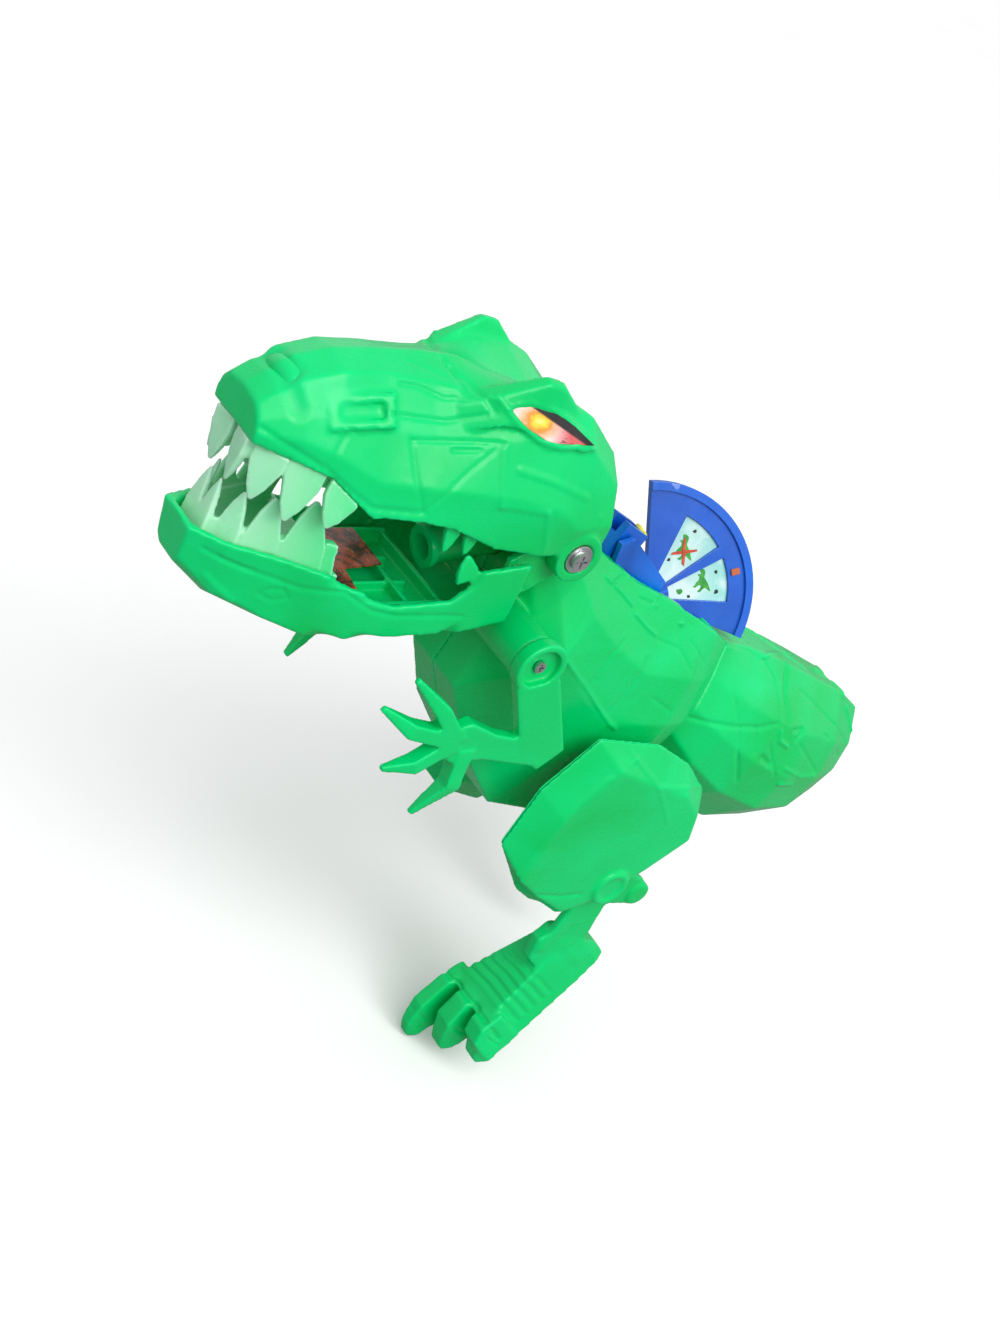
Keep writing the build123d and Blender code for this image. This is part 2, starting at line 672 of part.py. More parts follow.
UP_TEETH = [  # base (x, y, z), tip, width, thickness, direction across
    ((6.0, -118.5, 27.0), (5.5, -121.0, 9.5), 9.6, 3.0, (1, -.15, 0)),
    ((13.2, -112.5, 26.0), (14.5, -117.0, 8.5), 11.0, 3.0, (.55, .85, 0)),
    ((16.8, -101.5, 23.5), (20.5, -107.5, 5.0), 12.6, 3.0, (.25, .95, 0)),
    ((21.3, -89.5, 17.5), (25.0, -95.5, 5.5), 11.8, 3.0, (.2, .97, 0)),
]
REAR_TEETH = [((30.2, -50.0, 11.0), (30.6, -51.5, -1.5), 6.0, 2.6, (0, 1, 0)),
              ((30.8, -42.0, 7.5), (31.2, -43.0, -2.5), 5.5, 2.6, (0, 1, 0))]


def biggest(body):
    """the main solid of a body that trimming may have split"""
    return sorted(body.solids(), key=lambda q: q.volume)[-1]


def roof_strip(rows, thick):
    return stack_loft([(Plane(origin=(0, y, 0), x_dir=(1, 0, 0), z_dir=(0, -1, 0)),
                        [(-hw, z), (hw, z), (hw * 0.9, z + thick), (-hw * 0.9, z + thick)]) for y, hw, z in rows])


with BuildPart() as palate_raw:
    add(stack_loft([(Plane(origin=(0, y, 0), x_dir=(1, 0, 0), z_dir=(0, -1, 0)),
                     [(-hw, z), (hw, z), (hw * 0.9, z + 1.8), (-hw * 0.9, z + 1.8)])
                    for y, hw, z in ((-84.3, 23.4, 14.2), (-81.6, 24.2, 12.8), (-64.6, 27.2, 13.2), (-51, 28.0, 10.9),
                                     (-35.7, 28.8, 6.0), (-20, 27.4, 5.4))]))
    for sx in (-1, 1):
        for bs, tp, w, t, sd in REAR_TEETH:
            add(tooth((27.4 * sx, bs[1], bs[2] + 0.6), (28.2 * sx, tp[1], tp[2]), w, t, sd))
    add(head_shell.part, mode=Mode.SUBTRACT)
with BuildPart() as palate_plate:
    add(biggest(palate_raw.part))
export(palate_plate, "palate_plate")

# gum wall behind the upper teeth
gum_rows = [(-21.8, -85.0), (-19.8, -90.0), (-15.4, -102), (-12.0, -111.5), (-6.5, -116.0),
            (6.5, -116.0), (12.0, -111.5), (15.4, -102), (19.8, -90.0), (21.8, -85.0)]
gum_solid = stack_loft([(Plane(origin=(0, 0, z), x_dir=(1, 0, 0), z_dir=(0, 0, 1)), gum_rows) for z in (14.8, 28.0)])
gum_hollow = stack_loft([(Plane(origin=(0, 0, z), x_dir=(1, 0, 0), z_dir=(0, 0, 1)),
                          [(x * 0.87, -60 + (y + 60) * 0.95) for x, y in gum_rows]) for z in (14.0, 28.2)])
with BuildPart() as upper_teeth_raw:
    add(gum_solid - gum_hollow)
    add(roof_strip([(-84.5, 23.0, 15.4), (-91, 21.0, 18.6), (-97.8, 18.6, 23.0), (-113.9, 12.6, 26.8),
                    (-121.5, 6.5, 28.6)], 3.2))
    for sx in (-1, 1):
        for bs, tp, w, t, sd in UP_TEETH:
            add(tooth((bs[0] * sx, bs[1], bs[2] + 2.4), (tp[0] * sx, tp[1], tp[2]), w, t, (sd[0] * sx, sd[1], 0)))
    add(head_shell.part, mode=Mode.SUBTRACT)
with BuildPart() as upper_teeth:
    add(biggest(upper_teeth_raw.part))
export(upper_teeth, "upper_teeth")

# printed eye labels on the flat below each brow
with BuildPart() as eye_labels:
    for sx in (-1, 1):
        with BuildSketch(eye_plane(sx)):
            with BuildLine():
                Polyline(*eye_outline(sx), close=True)
            make_face()
        extrude(amount=0.3)
export(eye_labels, "eye_labels")

# ================================================================= jaw
jaw_outer = ring_loft(JAW)
jaw_inner = ring_loft([((s0[0][0] + (2.6 if k == 0 else 0), s0[0][1]), s0[1],
                        [(x, z + (5 if j < 2 else 0)) for j, (x, z) in enumerate(inset(full(s0[2]), 2.2)[:5])])
                       for k, s0 in enumerate(JAW[:-1])] +
                      [((JAW[-1][0][0] + 3, 0.0), (0.0, 1.0),
                        [(x, z + (5 if j < 2 else 0)) for j, (x, z) in enumerate(inset(full(JAW[-1][2]), 2.2)[:5])])])
with BuildPart() as jaw_shell_raw:
    add(jaw_outer)
    add(jaw_inner, mode=Mode.SUBTRACT)
    for sx in (-1, 1):
        with BuildSketch(xplane(25.0 * sx)):
            Circle(8.2)
            with BuildLine():
                Polyline((-3, 7.4), (4, -7.4), (-19, -24), (-24, -20), (-22, -5), close=True)
            make_face()
        extrude(amount=3.1 * sx)
        with BuildSketch(xplane(27.0 * sx)):
            with BuildLine():
                Polyline((-17.4, -6), (-17.4, -23), (-24, -23), (-24, -8), close=True)
            make_face()
        extrude(amount=4.2 * sx)
    with BuildSketch(xplane(-40)):
        Circle(HINGE_D / 2 + FIT)
    extrude(amount=80, mode=Mode.SUBTRACT)

LOW_TEETH = [
    ((3.6, -124.5, -8.0), (3.4, -120.5, 8.5), 7.6, 2.6, (1, 0, 0)),
    ((10.2, -119.0, -9.0), (9.0, -115.0, 7.5), 9.0, 2.6, (.8, .6, 0)),
    ((15.4, -109.5, -10.0), (14.2, -107.5, 9.0), 12.0, 2.6, (.35, .93, 0)),
    ((19.8, -96.5, -12.0), (17.4, -95.5, 10.0), 15.0, 2.6, (.3, .95, 0)),
]
LOW_REAR = [((29.0, -38.0, -12.0), (28.4, -41.0, -2.2), 8.0, 2.4, (0, 1, 0))]
with BuildPart() as jaw_shell:
    add(biggest(jaw_shell_raw.part))
    for sx in (-1, 1):
        for bs, tp, w, t, sd in LOW_REAR:
            add(tooth((bs[0] * sx, bs[1], bs[2]), (tp[0] * sx, tp[1], tp[2]), w, t, sd))
export(jaw_shell, "jaw_shell")

# upstand that the lower teeth grow from
wall_rows = [(-24.2, -86), (-22.4, -88.4), (-17.4, -103), (-11.8, -117.2), (-6.8, -124.0),
             (6.8, -124.0), (11.8, -117.2), (17.4, -103), (22.4, -88.4), (24.2, -86)]
wall_solid = stack_loft([(Plane(origin=(0, 0, z), x_dir=(1, 0, 0), z_dir=(0, 0, 1)),
                          [(x * k, -60 + (y + 60) * k2) for x, y in wall_rows])
                         for z, k, k2 in ((-13.0, 1.0, 1.0), (-3.4, 0.90, 0.972))])
wall_hollow = stack_loft([(Plane(origin=(0, 0, z), x_dir=(1, 0, 0), z_dir=(0, 0, 1)),
                           [(x * k, -60 + (y + 60) * k2) for x, y in wall_rows])
                          for z, k, k2 in ((-13.2, 0.87, 0.955), (-3.2, 0.77, 0.927))])
with BuildPart() as lower_teeth_raw:
    add(stack_loft([(Plane(origin=(0, 0, z), x_dir=(1, 0, 0), z_dir=(0, 0, 1)),
                     [(-24.4 + e, -84), (-22.6 + e, -88.4), (-17.6 + e, -103), (-12 + e, -117.5), (-7 + e, -124.5),
                      (7 - e, -124.5), (12 - e, -117.5), (17.6 - e, -103), (22.6 - e, -88.4), (24.4 - e, -84)])
                    for z, e in ((-15.5, 0.6), (-12.5, 0.2))]))
    add(wall_solid - wall_hollow)
    for sx in (-1, 1):
        for bs, tp, w, t, sd in LOW_TEETH:
            add(tooth((bs[0] * sx, bs[1], bs[2] - 5.2), (tp[0] * sx, tp[1], tp[2]), w, t, (sd[0] * sx, sd[1], 0)))
    add(jaw_shell.part, mode=Mode.SUBTRACT)
with BuildPart() as lower_teeth:
    add(biggest(lower_teeth_raw.part))
export(lower_teeth, "lower_teeth")

# drip tray with partitions on the jaw floor
with BuildPart() as drip_tray:
    with Locations((0, -59, -31.6)):
        Box(44, 46, 1.6)
    for x in (-21.2, 21.2):
        with Locations((x, -59, -28.4)):
            Box(1.6, 46, 6)
    for y in (-81.2, -66, -50, -36.8):
        with Locations((0, y, -28.9)):
            Box(44, 1.6, 5)
    for x in (-7, 7):
        with Locations((x, -58, -29.4)):
            Box(1.4, 30, 4)
export(drip_tray, "drip_tray")

# printed card that lines the floor of the jaw, in front of the tray
with BuildPart() as mouth_label:
    with BuildSketch(Plane(origin=(0, -92, -23.5), x_dir=(1, 0, 0), z_dir=(0, 0.24, 0.97))):
        with BuildLine():
            Polyline((-21.5, 7.6), (21.5, 7.6), (15.0, -14), (9, -24), (-9, -24), (-15.0, -14), close=True)
        make_face()
    extrude(amount=0.6)
    with BuildSketch(Plane.XY.offset(-25.3)):
        with BuildLine():
            Polyline((-20, -85.4), (20, -85.4), (20, -68), (3, -66), (1, -50), (-20, -50), close=True)
        make_face()
    extrude(amount=0.6)
export(mouth_label, "mouth_label")

# jaw hinge screws and washers
with BuildPart() as hinge_screws:
    for sx in (-1, 1):
        add(screw((35.0 * sx, 0, 0), (-sx, 0, 0), 3.6, 1.5, HINGE_D / 2, 14))
export(hinge_screws, "hinge_screws")
with BuildPart() as hinge_washers:
    for sx in (-1, 1):
        add(rod((33.5 * sx, 0, 0), (34.9 * sx, 0, 0), 5.3, HINGE_D / 2 + 0.02))
export(hinge_washers, "hinge_washers")

# ================================================================= arms


def yz(x, pts):
    return (Plane(origin=(x, 0, 0), x_dir=(0, 1, 0), z_dir=(1, 0, 0)), pts)


def finger(sx, a, b, c, r):
    """tapering four-sided finger from a through b to c"""
    layers = []
    pts = (a, b, c)
    for k, q in enumerate(pts):
        nxt = pts[min(k + 1, 2)]
        prv = pts[max(k - 1, 0)]
        d = Vector(*nxt) - Vector(*prv)
        rr = (r, r * 0.92, r * 0.34)[k]
        layers.append((Plane(origin=q, x_dir=(1, 0, 0), z_dir=(0, d.Y, d.Z)),
                       [(-rr, -rr), (rr, -rr), (rr, rr), (-rr, rr)]))
    return stack_loft(layers)


def arm_part(sx):
    sy, sz = SHOULDER
    with BuildPart() as body:
        # shoulder cap
        with BuildSketch(xplane(41.0 * sx)):
            with Locations((sy, sz)):
                Circle(10.2)
        extrude(amount=5.6 * sx)
        with BuildSketch(xplane(46.6 * sx)):
            with Locations((sy, sz)):
                Circle(7.4)
        extrude(amount=-3.0 * sx, mode=Mode.SUBTRACT)
        with BuildSketch(xplane(40 * sx)):
            with Locations((sy, sz)):
                Circle(1.5 + FIT)
        extrude(amount=8 * sx, mode=Mode.SUBTRACT)
        # upper arm
        with BuildSketch(xplane(41.6 * sx)):
            with BuildLine():
                Polyline((-13.2, -45.2), (4.2, -41.5), (22, -75), (13, -83.5), (2.2, -76), close=True)
            make_face()
        extrude(amount=5.0 * sx)
        # forearm
        add(stack_loft([
            (Plane(origin=(0, 14, -77), x_dir=(1, 0, 0), z_dir=(0, -1, 0.2)),
             [((41.6 - 44.0) * 1 + 44 * sx, -5), (2.4 + 44 * sx, -5), (2.4 + 44 * sx, 5), (-2.4 + 44 * sx, 5)]),
            (Plane(origin=(0, -14, -70), x_dir=(1, 0, 0), z_dir=(0, -1, 0.2)),
             [(-2.6 + 44 * sx, -5.5), (2.6 + 44 * sx, -5.5), (2.6 + 44 * sx, 5.5), (-2.6 + 44 * sx, 5.5)]),
            (Plane(origin=(0, -27, -67), x_dir=(1, 0, 0), z_dir=(0, -1, 0.2)),
             [(-2.8 + 44 * sx, -8.6), (2.8 + 44 * sx, -8.6), (2.8 + 44 * sx, 8.6), (-2.8 + 44 * sx, 8.6)]),
            (Plane(origin=(0, -35, -65.5), x_dir=(1, 0, 0), z_dir=(0, -1, 0.2)),
             [(-2.2 + 44 * sx, -5), (2.2 + 44 * sx, -5), (2.2 + 44 * sx, 5), (-2.2 + 44 * sx, 5)]),
        ]))
        for b, c in (((-40, -53, 44), (-54, -40.5, 43)), ((-50, -60, 44), (-62.5, -52, 42)),
                     ((-43, -76, 44), (-53.5, -78.5, 42))):
            add(finger(sx, (44 * sx, -29, -66.5), (b[2] * sx, b[0], b[1]), (c[2] * sx, c[0], c[1]), 3.2))
        add(finger(sx, (44 * sx, -24, -70), (45 * sx, -24, -86), (42 * sx, -33, -101), 3.4))
    return body.part


with BuildPart() as left_arm:
    add(arm_part(1))
export(left_arm, "left_arm")
shoulder_axis = Axis((0, SHOULDER[0], SHOULDER[1]), (1, 0, 0))
with BuildPart() as right_arm:
    add(arm_part(-1).rotate(shoulder_axis, RIGHT_ARM))
export(right_arm, "right_arm")
with BuildPart() as arm_screws:
    for sx in (-1, 1):
        add(screw((43.9 * sx, SHOULDER[0], SHOULDER[1]), (-sx, 0, 0), 2.2, 1.2, 1.5, 12))
export(arm_screws, "arm_screws")

# ================================================================= legs
hip_axis = Axis((0, HIP[0], HIP[1]), (1, 0, 0))
knee_axis = Axis((0, KNEE[0], KNEE[1]), (1, 0, 0))
SLOT = [(70, -139.5), (90, -136), (122, -150), (122, -185), (20, -200), (44, -160)]


def thigh_half(sx, outer):
    """hollow thigh half, split on the widest plane"""
    x0, x1, x2 = LEG_X0 * sx, LEG_X1 * sx, LEG_X2 * sx
    far, pts = (x2, FACE) if outer else (x0, INNER)
    with BuildPart() as body:
        add(stack_loft([yz(x1, THIGH), yz(far, pts)]))
        cx = x2 - 2.0 * sx if outer else x0 + 2.0 * sx
        add(stack_loft([yz(x1, offset_yz(THIGH, 2.4)), yz(cx, offset_yz(pts, 1.8))]), mode=Mode.SUBTRACT)
        # hip and knee bosses
        with BuildSketch(xplane(x1)):
            with Locations(HIP):
                Circle(6.5)
        extrude(amount=(far - x1) * (0.95), dir=(1, 0, 0))
        with BuildSketch(xplane(x1 + (2.6 if outer else -2.6) * sx)):
            with Locations(KNEE):
                Circle(5.4)
        extrude(amount=(far - x1 - (2.6 if outer else -2.6) * sx) * 0.95, dir=(1, 0, 0))
        if outer:
            with BuildSketch(xplane(x2 - 0.4 * sx)):
                with Locations(KNEE):
                    Circle(8.4)
            extrude(amount=2.2 * sx)
            with BuildSketch(xplane(x2 + 1.8 * sx)):
                with Locations(KNEE):
                    Circle(6.2)
            extrude(amount=-1.0 * sx, mode=Mode.SUBTRACT)
        with BuildSketch(xplane(30 * sx)):
            with Locations(HIP):
                Circle(HIP_D / 2 + FIT)
        extrude(amount=(18.4 if outer else 18.4) * sx, mode=Mode.SUBTRACT)
        with BuildSketch(xplane(30 * sx)):
            with Locations(KNEE):
                Circle(KNEE_D / 2)
        extrude(amount=17.5 * sx, mode=Mode.SUBTRACT)
        # mouth the shin swings through
        with BuildSketch(xplane(38.0 * sx)):
            with BuildLine():
                Polyline(*SLOT, close=True)
            make_face()
            with Locations(KNEE):
                Circle(10.6)
        extrude(amount=8.0 * sx, mode=Mode.SUBTRACT)
        with BuildSketch(xplane(x1 + (2.6 if outer else -2.6) * sx)):
            with Locations(KNEE):
                Circle(5.4)
                Circle(KNEE_D / 2, mode=Mode.SUBTRACT)
        extrude(amount=(1.6 if outer else -1.6) * sx)
    return biggest(body.part)


def foot_part(sx):
    """shin and foot moulded in one"""
    fo, fdir, fup = (106.0, -199.0), (-0.7071, -0.7071), (-0.7071, 0.7071)

    def foot_plane(l):
        return Plane(origin=(0, fo[0] + fdir[0] * l, fo[1] + fdir[1] * l), x_dir=(sx, 0, 0),
                     z_dir=(0, fdir[0], fdir[1])) if sx > 0 else Plane(
            origin=(0, fo[0] + fdir[0] * l, fo[1] + fdir[1] * l), x_dir=(-1, 0, 0), z_dir=(0, fdir[0], fdir[1]))

    def trap(l, x0, x1, h0, h1, inx):
        pl = foot_plane(l)
        pts = []
        for x, h in ((x0, h0), (x1, h0), (x1 - inx, h1), (x0 + inx, h1)):
            w = (x * sx, fo[0] + fdir[0] * l + fup[0] * h, fo[1] + fdir[1] * l + fup[1] * h)
            q = pl.to_local_coords(Vector(*w))
            pts.append((q.X, q.Y))
        return (pl, pts)

    with BuildPart() as body:
        # knuckle at the knee, rear lug and shin blade
        with BuildSketch(xplane(40.0 * sx)):
            with Locations(KNEE):
                Circle(8.6)
            with BuildLine():
                Polyline((75, -143), (86, -144.0), (108, -157), (112, -166), (104, -170), (92, -168),
                         (90, -196), (66, -190), (72, -170), close=True)
            make_face()
        extrude(amount=4.0 * sx)
        with BuildSketch(xplane(38.6 * sx)):
            with Locations((107, -164)):
                Circle(5.6)
        extrude(amount=6.8 * sx)
        add(stack_loft([trap(0, 32, 44, 0, 9, 1), trap(4, 30, 46, 0, 20, 2), trap(18, 27, 48, 0, 26, 3),
                        trap(34, 21.5, 49.5, 0, 23, 4), trap(48, 16.5, 51, 0, 20, 5), trap(58, 14.5, 51.8, 0, 17.5, 5)]))
        # ankle block
        add(stack_loft([trap(5, 35, 45.5, 8, 30, 2), trap(11, 34, 46.5, 8, 39, 3), trap(19, 34, 46.5, 8, 40, 3.5),
                        trap(27, 35, 45.5, 8, 32, 3)]))
        for x0, x1, far, lean in ((13.0, 24.6, 89, -1.2), (24.2, 38.2, 80, 0.0), (37.8, 52.2, 71, 0.8)):
            add(stack_loft([trap(50, x0 + 1.0, x1 - 0.6, 0, 18.5, 2.4), trap(60, x0, x1, 0, 19, 2.6),
                            trap(60 + (far - 60) * 0.55, x0 + lean, x1 + lean, 0, 15, 2.4),
                            trap(far - 3.5, x0 + 1.0 + lean, x1 - 1.0 + lean, 0, 8.5, 2.2),
                            trap(far, x0 + 3.0 + lean, x1 - 3.0 + lean, 0.4, 3.4, 0.8)]))
        with BuildSketch(xplane(30 * sx)):
            with Locations(KNEE):
                Circle(KNEE_D / 2 + FIT)
        extrude(amount=24 * sx, mode=Mode.SUBTRACT)
    return biggest(body.part)


def pin_part(sx):
    return rod((35.6 * sx, KNEE[0], KNEE[1]), (47.5 * sx, KNEE[0], KNEE[1]), KNEE_D / 2)


def leg_piece(shape, sx, below_knee):
    if sx > 0:
        return shape
    if below_knee:
        shape = shape.rotate(knee_axis, RIGHT_KNEE)
    return shape.rotate(hip_axis, RIGHT_HIP)


for side, sx in (("left", 1), ("right", -1)):
    with BuildPart() as thigh_outer:
        add(leg_piece(thigh_half(sx, True), sx, False))
    export(thigh_outer, side + "_thigh_outer")
    with BuildPart() as thigh_inner:
        add(leg_piece(thigh_half(sx, False), sx, False))
    export(thigh_inner, side + "_thigh_inner")
    with BuildPart() as shin_foot:
        add(leg_piece(foot_part(sx), sx, True))
    export(shin_foot, side + "_shin_and_foot")
    with BuildPart() as knee_pin:
        add(leg_piece(pin_part(sx), sx, False))
    export(knee_pin, side + "_knee_pin")

with BuildPart() as hip_axle:
    add(rod((-48.0, HIP[0], HIP[1]), (48.0, HIP[0], HIP[1]), HIP_D / 2))
export(hip_axle, "hip_axle")

# ================================================================= tail
tail_front = (TAIL[0][0], TAIL[0][1], TAIL[0][2])
tail_secs = [((TAIL[0][0][0] + SEAM_N[0] * GAP, TAIL[0][0][1] + SEAM_N[1] * GAP), TAIL[0][1], TAIL[0][2])] + TAIL[1:]
with BuildPart() as tail_shell:
    add(ring_loft(tail_secs))
    add(ring_loft([((TAIL[0][0][0] + SEAM_N[0] * 3.2, TAIL[0][0][1] + SEAM_N[1] * 3.2), TAIL[0][1], TAIL[0][2])] +
                  TAIL[1:6], WALL), mode=Mode.SUBTRACT)
    with BuildSketch(seam_plane.offset(-2)):
        Circle(2.5 + FIT)
    extrude(amount=10, mode=Mode.SUBTRACT)
export(tail_shell, "tail_shell")
with BuildPart() as tail_pivot:
    c0 = Vector(0, 106.5, -79)
    n = Vector(0, SEAM_N[0], SEAM_N[1])
    add(rod(tuple(c0 - n * 6), tuple(c0 + n * 6.4), 2.5))
    add(rod(tuple(c0 - n * 6), tuple(c0 - n * 4.0), 4.6))
    add(rod(tuple(c0 + n * 4.6), tuple(c0 + n * 6.4), 4.6))
export(tail_pivot, "tail_pivot")

# ================================================================= dial
WIN = ((8, 38), (46, 78))
with BuildPart() as dial_frame:
    with BuildSketch(dial_plane.offset(-1.6)):
        with BuildLine():
            Polyline(*sector(5.2, DIAL_R, A0, A1), close=True)
        make_face()
        Circle(6.6)
        for w0, w1 in WIN:
            with BuildLine():
                Polyline(*sector(10, DIAL_R - 10.5, w0, w1), close=True)
            make_face(mode=Mode.SUBTRACT)
        Circle(2.0 + FIT, mode=Mode.SUBTRACT)
    extrude(amount=3.2)
    with BuildSketch(dial_plane.offset(1.6)):
        with BuildLine():
            Polyline(*sector(DIAL_R - 3.4, DIAL_R, A0, A1), close=True)
        make_face()
    extrude(amount=1.2)
    with BuildSketch(dial_plane.offset(1.6)):
        Circle(4.4)
        Circle(2.0 + FIT, mode=Mode.SUBTRACT)
    extrude(amount=2.4)
export(dial_frame, "dial_frame")
with BuildPart() as dial_windows:
    for w0, w1 in WIN:
        with BuildSketch(dial_plane.offset(-0.6)):
            with BuildLine():
                Polyline(*sector(10, DIAL_R - 10.5, w0, w1), close=True)
            make_face()
        extrude(amount=1.0)
export(dial_windows, "dial_windows")
with BuildPart() as dial_index:
    with BuildSketch(dial_plane.offset(1.6)):
        with Locations(((DIAL_R - 7.2) * math.cos(math.radians(27)), (DIAL_R - 7.2) * math.sin(math.radians(27)))):
            Rectangle(3.6, 2.6, rotation=27)
    extrude(amount=0.8)
export(dial_index, "dial_index")
with BuildPart() as dial_pin:
    c0 = Vector(*DIAL_C)
    add(rod(tuple(c0 - dn * 7.4), tuple(c0 + dn * 5.6), 2.0))
    add(rod(tuple(c0 + dn * 4.5), tuple(c0 + dn * 5.9), 3.6))
export(dial_pin, "dial_pin")


# ---- blue cradle that carries the dial, with its pin boss and front block
def ridge(y, d):
    """point over the spine at y, d below the back"""
    return -8.5 - (y - 44) * 0.4663 - d


with BuildPart() as dial_cradle:
    with BuildSketch(xplane(-10.4)):
        with BuildLine():
            Polyline((46, -25.0), (61, -30.0), (98, -47.6), (98, -50.0), (61, -32.4), (46, -28), close=True)
        make_face()
    extrude(amount=20.8)
    # front block with its slot
    with Locations((0, 50, -17.5)):
        Box(11, 13, 20, rotation=(-25, 0, 0))
    with Locations((0, 50, -9)):
        Box(4.4, 16, 7, rotation=(-25, 0, 0), mode=Mode.SUBTRACT)
    # strap along the left of the spine
    with BuildSketch(xplane(6.6)):
        with BuildLine():
            Polyline((45, -12), (51, -10), (76, -29), (76, -38), (62, -32), (46, -27), close=True)
        make_face()
    extrude(amount=2.4)
    # post behind the dial
    c0 = Vector(*DIAL_C)
    add(rod(tuple(c0 - dn * 9.5), tuple(c0 - dn * 2.2), 5.2))
    add(rod(tuple(c0 - dn * 7.6 + Vector(0, -2, 0)), (DIAL_C[0] - 0.6, DIAL_C[1] - 4, -51.0), 3.4))
    add(dial_sweep.part, mode=Mode.SUBTRACT)
    add(dial_pin.part, mode=Mode.SUBTRACT)
    add(torso_hull.part, mode=Mode.SUBTRACT)
with BuildPart() as dial_cradle_one:
    add(biggest(dial_cradle.part))
export(dial_cradle_one, "dial_cradle")
with BuildPart() as stop_pin_raw:
    add(rod((0, 54.5, -18.5), (0, 61.5, -11.5), 2.9))
    add(dial_cradle_one.part, mode=Mode.SUBTRACT)
with BuildPart() as stop_pin:
    add(biggest(stop_pin_raw.part))
export(stop_pin, "stop_pin")
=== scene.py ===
import json
import math

import bmesh
import bpy
import numpy as np
from mathutils import Matrix, Vector
from mathutils.bvhtree import BVHTree


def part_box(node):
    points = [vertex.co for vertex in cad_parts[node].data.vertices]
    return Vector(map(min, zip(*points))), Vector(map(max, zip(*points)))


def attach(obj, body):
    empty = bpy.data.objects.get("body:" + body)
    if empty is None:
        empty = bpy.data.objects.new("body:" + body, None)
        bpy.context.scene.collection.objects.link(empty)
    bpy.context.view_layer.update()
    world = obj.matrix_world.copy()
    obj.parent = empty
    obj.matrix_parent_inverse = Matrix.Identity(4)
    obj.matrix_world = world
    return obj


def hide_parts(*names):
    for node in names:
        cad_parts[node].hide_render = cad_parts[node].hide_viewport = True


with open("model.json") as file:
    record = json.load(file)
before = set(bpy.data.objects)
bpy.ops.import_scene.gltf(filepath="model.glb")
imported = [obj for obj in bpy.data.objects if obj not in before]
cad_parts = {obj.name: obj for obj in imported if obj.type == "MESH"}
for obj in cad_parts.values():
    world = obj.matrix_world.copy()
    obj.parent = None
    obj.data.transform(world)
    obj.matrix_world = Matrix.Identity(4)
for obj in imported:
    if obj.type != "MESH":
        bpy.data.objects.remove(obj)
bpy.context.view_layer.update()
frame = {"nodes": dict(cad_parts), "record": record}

nodes = frame["nodes"]
COARSE = 1.0

# ------------------------------------------------------------------ frame
# drawing coordinates are in mm about the jaw hinge; the row frame is in metres
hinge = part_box("hinge_screws")
OFF = np.array([0.0, hinge[0][1] + hinge[1][1], hinge[0][2] + hinge[1][2]]) * 500.0


def R(p):
    """drawing mm to row-frame metres"""
    return (np.asarray(p, float) + OFF) / 1000.0


HIP = (86.0, -116.0)
KNEE = (80.0, -150.0)
SHOULDER = (-6.0, -37.0)
RIGHT_HIP, RIGHT_KNEE, RIGHT_ARM = 84.0, -52.0, -8.0


def spin(p, centre, deg):
    p = np.array(p, float)
    t = math.radians(deg)
    y, z = p[..., 1] - centre[0], p[..., 2] - centre[1]
    p[..., 1] = centre[0] + y * math.cos(t) - z * math.sin(t)
    p[..., 2] = centre[1] + y * math.sin(t) + z * math.cos(t)
    return p


def mirror(p):
    p = np.array(p, float)
    p[..., 0] *= -1
    return p


def far_thigh(p):
    return spin(mirror(p), HIP, RIGHT_HIP)


def far_shin(p):
    return spin(spin(mirror(p), KNEE, RIGHT_KNEE), HIP, RIGHT_HIP)


def far_arm(p):
    return spin(mirror(p), SHOULDER, RIGHT_ARM)


# ------------------------------------------------------------------ materials
def lin(c):
    return tuple(((v / 255) / 12.92 if v / 255 <= 0.04045 else ((v / 255 + 0.055) / 1.055) ** 2.4) for v in c) + (1.0,)


